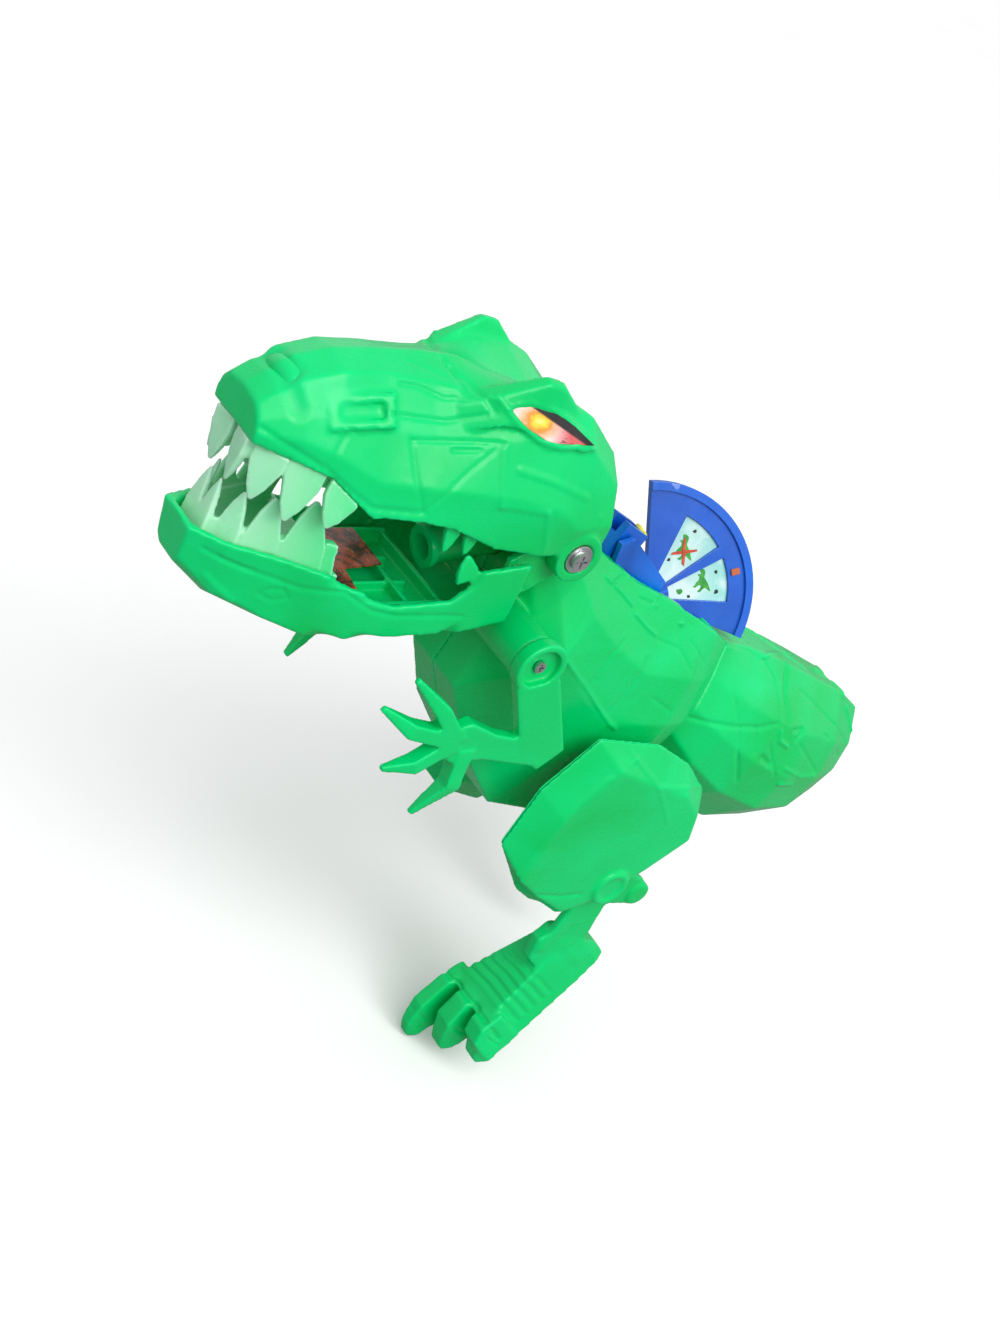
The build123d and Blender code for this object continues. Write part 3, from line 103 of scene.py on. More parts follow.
class Nodes:
    def __init__(self, name):
        self.mat = bpy.data.materials.new(name)
        self.mat.use_nodes = True
        self.t = self.mat.node_tree
        self.t.nodes.clear()
        self.out = self.t.nodes.new("ShaderNodeOutputMaterial")
        self.bsdf = self.t.nodes.new("ShaderNodeBsdfPrincipled")
        self.t.links.new(self.bsdf.outputs[0], self.out.inputs[0])
        self.tc = self.t.nodes.new("ShaderNodeTexCoord")

    def new(self, kind, **kw):
        n = self.t.nodes.new(kind)
        for k, v in kw.items():
            setattr(n, k, v)
        return n

    def link(self, a, b):
        self.t.links.new(a, b)

    def noise(self, scale, detail=4.0, rough=0.5, distortion=0.0, stretch=None):
        n = self.new("ShaderNodeTexNoise")
        n.inputs["Scale"].default_value = scale
        n.inputs["Detail"].default_value = detail
        n.inputs["Roughness"].default_value = rough
        n.inputs["Distortion"].default_value = distortion
        src = self.tc.outputs["Object"]
        if stretch:
            m = self.new("ShaderNodeMapping")
            m.inputs["Scale"].default_value = stretch
            self.link(src, m.inputs[0])
            src = m.outputs[0]
        self.link(src, n.inputs["Vector"])
        return n.outputs["Fac"]

    def ramp(self, fac, stops):
        r = self.new("ShaderNodeValToRGB")
        e = r.color_ramp.elements
        while len(e) < len(stops):
            e.new(0.5)
        for k, (p, c) in enumerate(stops):
            e[k].position = p
            e[k].color = c if len(c) == 4 else (*c, 1)
        self.link(fac, r.inputs[0])
        return r.outputs[0]

    def mix(self, fac, a, b, kind="MIX"):
        m = self.new("ShaderNodeMix", data_type="RGBA", blend_type=kind)
        for s, v in ((m.inputs[0], fac), (m.inputs[6], a), (m.inputs[7], b)):
            if isinstance(v, (int, float)):
                s.default_value = v
            elif isinstance(v, tuple):
                s.default_value = v
            else:
                self.link(v, s)
        return m.outputs[2]

    def maths(self, op, a, b=0.5, clamp=False):
        m = self.new("ShaderNodeMath", operation=op, use_clamp=clamp)
        for s, v in ((m.inputs[0], a), (m.inputs[1], b)):
            if isinstance(v, (int, float)):
                s.default_value = v
            else:
                self.link(v, s)
        return m.outputs[0]

    def range(self, v, a0, a1, b0, b1):
        m = self.new("ShaderNodeMapRange")
        m.clamp = True
        self.link(v, m.inputs[0])
        for k, x in enumerate((a0, a1, b0, b1)):
            m.inputs[k + 1].default_value = x
        return m.outputs[0]

    def bump(self, height, strength, distance):
        b = self.new("ShaderNodeBump")
        b.inputs["Strength"].default_value = strength
        b.inputs["Distance"].default_value = distance
        self.link(height, b.inputs["Height"])
        self.link(b.outputs[0], self.bsdf.inputs["Normal"])

    def pointy(self, lo, hi):
        g = self.new("ShaderNodeNewGeometry")
        return self.range(g.outputs["Pointiness"], lo, hi, 0.0, 1.0)

    def coords(self):
        s = self.new("ShaderNodeSeparateXYZ")
        self.link(self.tc.outputs["Object"], s.inputs[0])
        return s.outputs


def plastic(name, base, deep, pale, rough=(0.24, 0.40), sss=0.0, sss_scale=0.003, sss_rgb=(0.3, 1.0, 0.4), coat=0.0,
            grain=0.02, flow=9.0, wear=0.5, spec=0.5):
    """moulded plastic: slow colour drift from the melt flow, fine grain, pale rubbed edges and painted shade in the
    corners and creases (darkened towards the deep tone)
    """
    m = Nodes(name)
    slow = m.noise(flow, 3.0, 0.55, 0.6)
    streak = m.noise(26.0, 5.0, 0.6, 0.4, (1.0, 0.35, 1.6))
    col = m.mix(m.range(slow, 0.35, 0.68, 0.0, 1.0), lin(base), lin(deep))
    col = m.mix(m.range(streak, 0.52, 0.78, 0.0, 0.22), col, lin(pale))
    col = m.mix(m.range(m.pointy(0.515, 0.60), 0.0, 1.0, 0.0, wear), col, lin(pale))
    # painted shade: concave corners and creases darkened towards the deep tone
    painted_crease_shade = m.range(m.pointy(0.38, 0.475), 0.0, 1.0, 0.55, 0.0)
    col = m.mix(painted_crease_shade, col, lin(deep))
    m.link(col, m.bsdf.inputs["Base Color"])
    r = m.noise(140.0, 4.0, 0.6)
    scuff = m.noise(38.0, 6.0, 0.7, 1.2, (1.0, 1.0, 3.0))
    rr = m.maths("ADD", m.range(r, 0.3, 0.7, rough[0], rough[1]), m.range(scuff, 0.56, 0.80, 0.0, 0.10))
    m.link(rr, m.bsdf.inputs["Roughness"])
    fine = m.noise(2600.0, 2.0, 0.5)
    wave = m.noise(60.0, 2.0, 0.4)
    h = m.maths("ADD", m.maths("MULTIPLY", fine, 0.25), wave)
    m.bump(h, grain * 10, 0.0006)
    m.bsdf.inputs["IOR"].default_value = 1.5
    m.bsdf.inputs["Specular IOR Level"].default_value = spec
    m.bsdf.inputs["Coat Weight"].default_value = coat
    m.bsdf.inputs["Coat Roughness"].default_value = 0.12
    if sss:
        m.bsdf.inputs["Subsurface Weight"].default_value = sss
        m.bsdf.inputs["Subsurface Radius"].default_value = sss_rgb
        m.bsdf.inputs["Subsurface Scale"].default_value = sss_scale
    return m.mat


def metal(name, base, deep, rough=(0.2, 0.42), scale=90.0):
    m = Nodes(name)
    n = m.noise(scale, 5.0, 0.6, 0.5)
    col = m.mix(m.range(n, 0.4, 0.68, 0.0, 0.8), lin(base), lin(deep))
    # painted shade: hollows and recesses darkened towards dark grey
    col = m.mix(m.range(m.pointy(0.40, 0.49), 0.0, 1.0, 0.7, 0.0), col, lin((60, 62, 60)))
    m.link(col, m.bsdf.inputs["Base Color"])
    m.bsdf.inputs["Metallic"].default_value = 1.0
    m.link(m.range(m.noise(260.0, 3.0), 0.3, 0.7, rough[0], rough[1]), m.bsdf.inputs["Roughness"])
    m.bump(m.noise(1800.0, 3.0), 0.25, 0.0003)
    return m.mat


GREEN = plastic("green_plastic", (0, 208, 116), (0, 184, 84), (0, 236, 158), rough=(0.22, 0.36), sss=0.10, sss_scale=0.003,
                sss_rgb=(0.15, 1.0, 0.5), coat=0.08, wear=0.45, spec=0.2)
JAWGREEN = GREEN
BLUE = plastic("blue_plastic", (0, 92, 206), (0, 62, 150), (10, 130, 255), rough=(0.24, 0.40), sss=0.05, sss_scale=0.002,
               sss_rgb=(0.1, 0.3, 1.0), coat=0.25, wear=0.6)
YELLOW = plastic("yellow_plastic", (228, 228, 40), (200, 196, 20), (250, 250, 140), rough=(0.3, 0.45), sss=0.2,
                 sss_scale=0.002, sss_rgb=(1, 1, 0.3), wear=0.4)
ORANGE = plastic("orange_plastic", (190, 92, 40), (140, 58, 24), (224, 130, 70), rough=(0.4, 0.6), wear=0.4)
BLACK = plastic("black_plastic", (26, 27, 28), (12, 12, 13), (60, 62, 64), rough=(0.4, 0.6), wear=0.4)
WHITE = plastic("white_plastic", (226, 228, 222), (200, 202, 196), (244, 244, 240), rough=(0.35, 0.5), wear=0.3)
RUBBER = plastic("rubber", (208, 214, 208), (180, 188, 182), (226, 230, 226), rough=(0.45, 0.6), sss=0.3, sss_scale=0.002,
                 sss_rgb=(1, 1, 1), wear=0.2)
STEEL = metal("steel", (205, 206, 208), (150, 152, 156))
CAN = metal("motor_can", (176, 178, 180), (120, 122, 126), rough=(0.25, 0.5))
SPRING = metal("spring_metal", (214, 206, 186), (170, 160, 140))


def tooth_material():
    m = Nodes("tooth_plastic")
    x, y, z = m.coords()
    front = m.range(y, (-122 + OFF[1]) / 1000, (-84 + OFF[1]) / 1000, 0.0, 1.0)
    slow = m.noise(60.0, 4.0, 0.6, 0.4)
    col = m.mix(front, lin((176, 232, 196)), lin((48, 216, 132)))
    col = m.mix(m.range(slow, 0.42, 0.66, 0.0, 0.4), col, lin((120, 226, 170)))
    col = m.mix(m.range(m.pointy(0.51, 0.58), 0.0, 1.0, 0.0, 0.5), col, lin((214, 250, 228)))
    m.link(col, m.bsdf.inputs["Base Color"])
    m.link(m.range(m.noise(120.0, 4.0), 0.3, 0.7, 0.16, 0.30), m.bsdf.inputs["Roughness"])
    m.bump(m.noise(90.0, 3.0), 0.2, 0.0006)
    m.bsdf.inputs["Subsurface Weight"].default_value = 0.6
    m.bsdf.inputs["Subsurface Radius"].default_value = (0.7, 1.0, 0.8)
    m.bsdf.inputs["Subsurface Scale"].default_value = 0.004
    m.bsdf.inputs["Coat Weight"].default_value = 0.4
    return m.mat


TOOTH = tooth_material()


def eye_material():
    """printed eye: pale rim, orange iris with a yellow middle, dark lid line"""
    m = Nodes("eye_print")
    x, y, z = m.coords()
    cy, cz = (-31.5 + OFF[1]) / 1000, (45.2 + OFF[2]) / 1000
    dy = m.maths("SUBTRACT", y, cy)
    dz = m.maths("SUBTRACT", z, cz)
    d = m.maths("SQRT", m.maths("ADD", m.maths("MULTIPLY", dy, dy), m.maths("MULTIPLY", m.maths("MULTIPLY", dz, dz), 2.2)))
    n = m.noise(420.0, 4.0, 0.65, 0.8)
    d2 = m.maths("ADD", d, m.range(n, 0.3, 0.7, -0.0010, 0.0010))
    iris = m.ramp(m.range(d2, 0.0, 0.0125, 0.0, 1.0), [
        (0.0, lin((255, 240, 150))), (0.16, lin((250, 214, 60))), (0.34, lin((238, 140, 40))), (0.5, lin((250, 190, 150))),
        (0.7, lin((252, 214, 206))), (1.0, lin((236, 190, 200)))])
    back = m.range(dy, 0.0045, 0.012, 0.0, 1.0)
    col = m.mix(m.maths("MULTIPLY", back, 0.85), iris, lin((206, 46, 40)))
    # lid line along the upper edge: the label's own slope
    t = m.maths("ADD", m.maths("MULTIPLY", dy, 0.40), dz)
    lid = m.range(t, 0.0020, 0.0026, 0.0, 1.0)
    front = m.range(dy, -0.0085, -0.006, 0.0, 1.0)
    col = m.mix(m.maths("MULTIPLY", lid, front), col, lin((16, 18, 20)))
    streak = m.noise(900.0, 3.0, 0.7, 0.0, (1, 0.4, 2.0))
    blotch = m.maths("MULTIPLY", m.range(streak, 0.60, 0.64, 0.0, 1.0), m.range(dy, 0.004, 0.010, 0.0, 0.9))
    col = m.mix(blotch, col, lin((60, 16, 22)))
    m.link(col, m.bsdf.inputs["Base Color"])
    m.link(m.range(m.noise(300.0), 0.3, 0.7, 0.18, 0.34), m.bsdf.inputs["Roughness"])
    m.bump(m.noise(1500.0, 2.0), 0.1, 0.0002)
    m.bsdf.inputs["Coat Weight"].default_value = 0.5
    return m.mat


def card_material():
    """printed card in the mouth: dark red-brown with ragged gold and green flecks"""
    m = Nodes("card_print")
    a = m.noise(55.0, 6.0, 0.65, 1.4)
    b = m.noise(150.0, 5.0, 0.6, 0.8)
    c = m.noise(240.0, 4.0, 0.7, 1.5, (1, 2.4, 1))
    col = m.mix(m.range(a, 0.42, 0.56, 0.0, 1.0), lin((54, 22, 16)), lin((176, 70, 44)))
    col = m.mix(m.range(b, 0.55, 0.62, 0.0, 0.85), col, lin((24, 40, 16)))
    col = m.mix(m.range(c, 0.62, 0.66, 0.0, 0.9), col, lin((206, 170, 70)))
    m.link(col, m.bsdf.inputs["Base Color"])
    m.link(m.range(b, 0.3, 0.7, 0.25, 0.45), m.bsdf.inputs["Roughness"])
    m.bump(m.noise(900.0), 0.2, 0.0002)
    m.bsdf.inputs["Coat Weight"].default_value = 0.3
    return m.mat


def window_material():
    """printed film behind the dial windows: pale mint fading to white, with a darker corner"""
    m = Nodes("window_film")
    x, y, z = m.coords()
    up = m.range(z, (-52.7 + OFF[2]) / 1000, (-12.7 + OFF[2]) / 1000, 0.0, 1.0)
    n = m.noise(70.0, 5.0, 0.6, 0.6)
    col = m.mix(m.range(y, (105 + OFF[1]) / 1000, (126 + OFF[1]) / 1000, 0.0, 1.0), lin((206, 236, 228)), lin((120, 214, 206)))
    col = m.mix(m.maths("MULTIPLY", up, 0.55), col, lin((60, 176, 176)))
    col = m.mix(m.range(n, 0.45, 0.62, 0.0, 0.5), col, lin((232, 246, 240)))
    m.link(col, m.bsdf.inputs["Base Color"])
    m.link(m.range(n, 0.3, 0.7, 0.2, 0.36), m.bsdf.inputs["Roughness"])
    m.bump(m.noise(1200.0), 0.1, 0.0002)
    m.bsdf.inputs["Coat Weight"].default_value = 0.4
    return m.mat


def print_material(name, a, b):
    m = Nodes(name)
    n = m.noise(420.0, 4.0, 0.6, 0.5)
    m.link(m.mix(m.range(n, 0.42, 0.6, 0.0, 1.0), lin(a), lin(b)), m.bsdf.inputs["Base Color"])
    m.link(m.range(m.noise(200.0), 0.3, 0.7, 0.3, 0.45), m.bsdf.inputs["Roughness"])
    m.bump(m.noise(1500.0), 0.1, 0.0001)
    return m.mat


def board_material():
    m = Nodes("board")
    n = m.noise(120.0, 3.0)
    w = m.new("ShaderNodeTexBrick")
    w.inputs["Scale"].default_value = 220.0
    w.inputs["Color1"].default_value = lin((30, 110, 60))
    w.inputs["Color2"].default_value = lin((26, 96, 54))
    w.inputs["Mortar"].default_value = lin((120, 150, 90))
    m.link(m.tc.outputs["Object"], w.inputs["Vector"])
    m.link(m.mix(m.range(n, 0.4, 0.7, 0, 0.5), w.outputs["Color"], lin((18, 70, 40))), m.bsdf.inputs["Base Color"])
    m.link(m.range(n, 0.3, 0.7, 0.3, 0.5), m.bsdf.inputs["Roughness"])
    m.bump(w.outputs["Fac"], 0.2, 0.0001)
    return m.mat


EYE, CARD, WINDOW, BOARD = eye_material(), card_material(), window_material(), board_material()
CELL = plastic("cell_wrap", (60, 64, 70), (30, 32, 36), (150, 120, 60), rough=(0.2, 0.35), coat=0.4)
DINO = print_material("pictogram_green", (40, 140, 50), (70, 170, 60))
INK = print_material("pictogram_dark", (24, 26, 24), (40, 46, 40))
CROSS = print_material("pictogram_red", (190, 60, 36), (206, 84, 40))


# ------------------------------------------------------------------ moulding
def welded(names):
    """the named CAD nodes as one mesh with shared vertices, in the row frame"""
    bm = bmesh.new()
    for n in names:
        bm.from_mesh(nodes[n].data)
    bmesh.ops.remove_doubles(bm, verts=bm.verts, dist=2e-6)
    me = bpy.data.meshes.new("weld")
    bm.to_mesh(me)
    bm.free()
    return me


def applied(obj):
    """obj's mesh with its modifiers applied"""
    dg = bpy.context.evaluated_depsgraph_get()
    dg.update()
    me = bpy.data.meshes.new_from_object(obj.evaluated_get(dg))
    old = obj.data
    obj.modifiers.clear()
    obj.data = me
    if old.users == 0:
        bpy.data.meshes.remove(old)
    return obj


def link(obj):
    bpy.context.scene.collection.objects.link(obj)
    return obj


def arrays(me):
    n = len(me.vertices)
    co = np.empty(n * 3)
    no = np.empty(n * 3)
    me.vertices.foreach_get("co", co)
    me.vertices.foreach_get("normal", no)
    return co.reshape(-1, 3), no.reshape(-1, 3)


def put(me, co):
    me.vertices.foreach_set("co", co.ravel())
    me.update()


def smooth_all(me):
    me.polygons.foreach_set("use_smooth", [True] * len(me.polygons))


def dist_to_path(co, path):
    """distance of each point to a polyline"""
    best = np.full(len(co), 1e9)
    for a, b in zip(path[:-1], path[1:]):
        ab = b - a
        t = np.clip(((co - a) @ ab) / max(ab @ ab, 1e-12), 0, 1)
        d = np.linalg.norm(co - (a + t[:, None] * ab), axis=1)
        best = np.minimum(best, d)
    return best


def snapped(path, tree, tol=0.02, step=0.0015):
    """a path laid on the surface: sampled finely, each sample moved to the nearest point"""
    out = []
    for a, b in zip(path[:-1], path[1:]):
        n = max(2, int(np.linalg.norm(b - a) / step))
        for k in range(n):
            out.append(a + (b - a) * k / n)
    out.append(path[-1])
    res = []
    for p in out:
        hit = tree.find_nearest(Vector(p), tol)
        res.append(np.array(hit[0]) if hit[0] is not None else p)
    return np.array(res)


def line_work(me, lines, place=lambda p: p):
    """grooves (negative depth) and raised lines (positive), each (points in drawing mm, half width mm, depth mm)"""
    if not lines:
        return
    co, no = arrays(me)
    tree = BVHTree.FromPolygons([tuple(c) for c in co], [tuple(p.vertices) for p in me.polygons])
    move = np.zeros(len(co))
    for pts, w, depth in lines:
        path = snapped(R(place(np.array(pts, float))), tree)
        lo, hi = path.min(0) - w / 1000 * 1.2, path.max(0) + w / 1000 * 1.2
        near = np.where(np.all((co > lo) & (co < hi), axis=1))[0]
        if not len(near):
            continue
        d = dist_to_path(co[near], path) / (w / 1000)
        f = np.where(d < 1, (1 - np.clip(d, 0, 1) ** 2) ** 2, 0)
        move[near] += f * depth / 1000
    put(me, co + no * move[:, None])


def mould(name, parts, body, material, voxel=0.9, rounds=3, lines=(), place=lambda p: p, extra=None, both=False):
    """a moulded piece: the CAD solid with softened edges and its surface detail"""
    me = welded(parts)
    ob = link(bpy.data.objects.new(name, me))
    m = ob.modifiers.new("Remesh", "REMESH")
    m.mode = "VOXEL"
    m.voxel_size = voxel * COARSE / 1000
    s = ob.modifiers.new("Smooth", "SMOOTH")
    s.factor = 0.5
    s.iterations = rounds
    applied(ob)
    me = ob.data
    if extra:
        extra(me, place)
    if lines:
        line_work(me, lines, place)
        if both:
            line_work(me, lines, lambda p: mirror(place(p)))
    co, no = arrays(me)
    smooth_all(me)
    me.materials.clear()
    me.materials.append(material)
    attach(ob, body)
    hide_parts(*parts)
    return ob


def crisp(name, material, width=0.35, segments=2, angle=25):
    """a CAD node that stays: rounded edges and its material"""
    ob = nodes[name]
    ob.data.materials.clear()
    ob.data.materials.append(material)
    w = ob.modifiers.new("Weld", "WELD")
    w.merge_threshold = 2e-6
    if width:
        b = ob.modifiers.new("Bevel", "BEVEL")
        b.width = width / 1000
        b.segments = segments
        b.limit_method = "ANGLE"
        b.angle_limit = math.radians(angle)
        b.harden_normals = False
    return ob


# creases, seams and raised lines of the mouldings: (points in drawing mm, half width mm, height mm)
HEAD_LINES = [
    ([(13.5, -119.5, 31.6), (18.3, -107.9, 27.1), (21.8, -98.1, 22.8), (24.3, -90.0, 17.7), (26.5, -82.6, 13.7), (28.3, -73.6, 13.9), (29.9, -65.5, 14.4)], 1.5, -0.5),
    ([(20.7, -72.8, 34.1), (26.7, -70.4, 24.0), (29.7, -66.3, 14.9)], 1.1, -0.4),
    ([(20.7, -72.8, 34.1), (22.3, -56.5, 35.4), (24.8, -41.4, 36.9)], 1.2, -0.45),
    ([(24.8, -41.4, 36.9), (27.6, -54.2, 26.7), (29.8, -65.2, 15.7)], 1, -0.3),
    ([(24.8, -41.4, 36.9), (28.9, -40.8, 28.0), (31.9, -39.2, 19.0)], 2.2, 0.45),
    ([(32.0, -39.1, 18.6), (33.4, -30.4, 18.6), (35.0, -22.0, 18.3)], 1.8, 0.35),
    ([(35.0, -22.0, 18.3), (35.6, -19.3, 10.2), (35.5, -17.1, 4.0)], 1.8, 0.35),
    ([(21.2, -99.3, 24.5), (20.0, -96.9, 30.0), (19.1, -94.4, 35.6)], 1, -0.35),
    ([(-14.1, -55.1, 48.8), (4.0, -57.8, 51.9), (11.7, -52.1, 49.5), (20.9, -50.2, 49.2), (22.3, -47.4, 46.0)], 1.8, -0.7),
    ([(3.4, -81.4, 50.5), (-4.4, -72.1, 51.1), (-9.9, -60.0, 50.1)], 1, -0.3),
    ([(10.9, -78.4, 47.4), (12.1, -70.9, 47.5), (14.9, -61.9, 45.6), (20.0, -53.7, 49.8)], 1, -0.35),
    ([(18.5, -81.3, 41.6), (17.4, -70.2, 39.8), (18.7, -61.1, 40.0), (22.2, -49.8, 44.8)], 1.2, -0.45),
    ([(-4.5, -108.3, 44.0), (7.7, -111.7, 42.6), (13.2, -109.6, 37.9)], 4.6, -1.3),
    ([(-5.8, -106.0, 44.0), (-8.8, -96.5, 44.7), (-9.6, -88.6, 46.2)], 1.2, -0.5),
    ([(23.5, -58.4, 32.9), (24.4, -49.5, 33.8)], 1.2, -0.5),
    ([(21.0, -47.0, 50.5), (22.7, -43.5, 47.2), (24.5, -38.3, 43.3), (26.0, -29.4, 39.2), (27.4, -21.8, 38.2), (27.1, -10.4, 39.2)], 1.6, 0.6),
    ([(22.6, -43.0, 47.8), (22.8, -36.2, 49.8), (24.0, -26.0, 48.6), (24.4, -16.6, 44.6), (25.6, -9.4, 40.9)], 1.4, 0.5),
    ([(28.9, -35.1, 30.0), (31.8, -21.8, 27.8), (32.3, -5.7, 22.4)], 2, 0.35),
]
JAW_LINES = [
    ([(11.5, -124.8, -10.9), (16.6, -113.9, -14.0), (22.8, -95.8, -17.6), (26.9, -81.3, -16.9), (28.2, -69.5, -23.6), (28.9, -60.5, -25.3), (31.1, -35.6, -24.7)], 1.2, -0.45),
    ([(19.0, -106.2, -22.7), (20.1, -103.5, -19.8), (21.5, -99.5, -19.3), (22.0, -97.5, -21.9), (20.6, -101.7, -24.0), (19.0, -106.2, -22.7)], 0.9, -0.35),
    ([(31.2, -27.6, -5.6), (28.1, -10.7, -17.0), (32.3, -17.0, -26.1)], 1.4, -0.35),
    ([(14.0, -120.6, -12.1), (16.6, -113.9, -14.0), (18.1, -109.6, -14.8)], 1, -0.35),
    ([(12.4, -121.8, -20.2), (15.7, -112.8, -27.2)], 2, 0.4),
]
TORSO_LINES = [
    ([(34.0, 16.6, -43.6), (35.1, 33.6, -57.5), (35.9, 48.8, -71.2), (35.1, 59.0, -80.1)], 1.4, 0.7),
    ([(27.2, 48.2, -41.6), (30.8, 41.0, -45.3), (34.0, 37.0, -54.9)], 1.1, -0.4),
    ([(27.4, 65.2, -50.2), (32.7, 58.0, -61.2), (35.4, 52.0, -71.0)], 1.1, -0.4),
    ([(16.7, 35.8, -20.4), (17.5, 44.9, -26.1), (18.8, 52.8, -31.7)], 1.3, 0.9),
    ([(20.3, 55.3, -34.8), (21.8, 61.7, -39.4), (22.6, 68.3, -43.3)], 1.3, 0.9),
    ([(19.6, 83.3, -42.5), (24.0, 83.2, -49.6), (27.9, 91.1, -57.7)], 1.2, -0.45),
    ([(4.0, 41.9, -18.0), (13.2, 48.5, -22.2), (17.5, 39.6, -23.4)], 1.1, -0.6),
    ([(12.9, 53.0, -23.8), (12.1, 72.2, -31.7), (16.6, 67.7, -33.8), (16.6, 57.9, -30.7)], 1.1, -0.6),
    ([(23.3, 71.1, -45.7), (24.0, 83.2, -49.6)], 1, -0.35),
    ([(16.5, 67.1, -33.4), (16.6, 67.7, -33.8)], 1.8, 1),
    ([(18.8, 83.2, -41.2), (18.9, 83.8, -41.5)], 1.8, 1),
    ([(21.9, 89.1, -47.6), (23.9, 100.8, -57.5)], 1, -0.35),
    ([(32.6, 73.1, -67.2), (32.9, 85.6, -73.9)], 1.2, -0.4),
    ([(25.5, 23.6, -24.1), (31.6, 18.7, -36.8)], 1, -0.3),
]
TAIL_LINES = [
    ([(25.4, 104.8, -83.8), (29.1, 114.7, -84.7), (31.0, 126.7, -86.3), (31.2, 145.6, -88.5), (30.3, 157.8, -88.2)], 1.5, -0.7),
    ([(13.8, 120.1, -56.8), (12.4, 138.8, -62.5), (13.3, 150.8, -67.7), (17.6, 157.2, -74.2), (23.9, 158.4, -81.1), (29.8, 157.5, -87.0)], 1.3, -0.45),
    ([(10.5, 170.3, -72.1), (19.8, 165.4, -79.5), (28.3, 166.3, -89.0)], 2.4, -1),
    ([(31.5, 133.8, -88.2), (34.9, 135.1, -97.8), (35.9, 143.0, -113.2)], 1.5, -0.7),
    ([(31.5, 143.9, -89.1), (35.3, 145.4, -98.6)], 1.4, -0.6),
    ([(31.1, 160.5, -91.6), (32.5, 160.8, -95.9), (32.8, 168.0, -99.7)], 1.6, 1.2),
    ([(30.2, 171.2, -93.4), (28.9, 178.3, -94.6), (31.2, 174.5, -97.8)], 1.8, -1.2),
    ([(35.8, 150.9, -101.4), (36.2, 158.2, -105.8)], 2.2, -1.2),
    ([(36.8, 170.2, -117.4), (35.2, 182.3, -120.3)], 1.5, 0.9),
    ([(12.9, 147.8, -66.3), (6.5, 165.1, -70.0), (-5.4, 192.4, -80.8)], 1.5, 0.7),
    ([(-0.9, 206.6, -86.6), (1.3, 215.0, -90.0)], 2, 0.8),
    ([(3.8, 219.1, -91.6), (10.1, 222.1, -93.8)], 2, 0.8),
    ([(11.6, 227.0, -99.9), (14.5, 236.6, -112.6)], 1.6, 0.8),
    ([(33.7, 154.8, -97.0), (36.9, 164.7, -112.1)], 1.4, -0.6),
    ([(31.8, 177.9, -101.0), (31.5, 199.3, -118.0)], 1.5, -0.5),
    ([(26.3, 200.1, -102.2), (22.2, 225.1, -120.0)], 1.5, -0.5),
    ([(24.4, 125.9, -72.9), (30.1, 130.9, -84.3)], 1.2, -0.35),
    ([(17.5, 178.9, -82.4), (20.9, 206.3, -98.7), (19.9, 229.2, -114.6)], 1.4, -0.4),
    ([(35.8, 170.5, -109.8), (34.6, 186.0, -117.2), (31.8, 200.9, -120.8)], 1.5, 0.7),
]
THIGH_LINES = [
    ([(48.5, 27.0, -135.0), (49.2, 32.0, -118.8), (49.4, 39.6, -101.6), (49.2, 48.7, -90.0), (45.8, 62.3, -84.2)], 2, 0.35),
    ([(45.8, 62.9, -84.3), (48.0, 70.0, -90.2), (49.8, 77.9, -96.6), (48.8, 91.8, -99.8), (42.1, 113.5, -106.8)], 1.8, 0.35),
    ([(50.0, 41.6, -147.3), (50.0, 54.1, -150.3), (50.0, 64.9, -151.2)], 1.3, -0.55),
    ([(50.0, 78.9, -97.6), (50.0, 86.1, -106.8), (50.0, 93.9, -116.9)], 1.8, 0.25),
    ([(43.8, 57.5, -80.0), (45.6, 62.3, -83.9)], 1.6, 0.3),
]
SHIN_LINES = [
    ([(44.0, 89.1, -185.4), (46.3, 82.9, -190.6)], 1.2, -0.4),
    ([(44.0, 79.7, -177.6), (44.2, 76.4, -185.4)], 1.2, -0.35),
]


def foot_point(x, l, h):
    return (x, 106.0 - 0.7071 * l - 0.7071 * h, -199.0 - 0.7071 * l + 0.7071 * h)


FOOT_LINES = list(SHIN_LINES)
for l, x0, x1 in ((30, 25, 49), (34.5, 23, 49.5), (39, 21, 50), (43.5, 19, 50.5), (48, 18, 51)):
    FOOT_LINES.append(([foot_point(x0 - 2, l + 1.5, 12), foot_point(x0 + 4, l + 1.0, 20), foot_point((x0 + x1) / 2, l, 24),
                        foot_point(x1 - 3, l - 1.5, 20), foot_point(x1, l - 2, 8)], 1.6, -0.40))
    FOOT_LINES.append(([foot_point(x0 - 1, l + 3.6, 13), foot_point(x0 + 5, l + 3.1, 20), foot_point((x0 + x1) / 2, l + 2.1, 24),
                        foot_point(x1 - 3, l + 0.6, 20), foot_point(x1, l, 8)], 1.8, 0.22))
FOOT_LINES.append(([foot_point(14, 60, 6), foot_point(17, 59, 18), foot_point(26, 57.5, 20), foot_point(34, 57, 20),
                    foot_point(44, 56.5, 20), foot_point(51, 57, 8)], 1.8, -0.9))
for x, far in ((18.0, 89), (31.2, 80), (45.8, 71)):
    FOOT_LINES.append(([foot_point(x - 3.6, far - 12, 5), foot_point(x, far - 10.5, 12), foot_point(x + 4.6, far - 12, 5)], 1.1, -0.4))

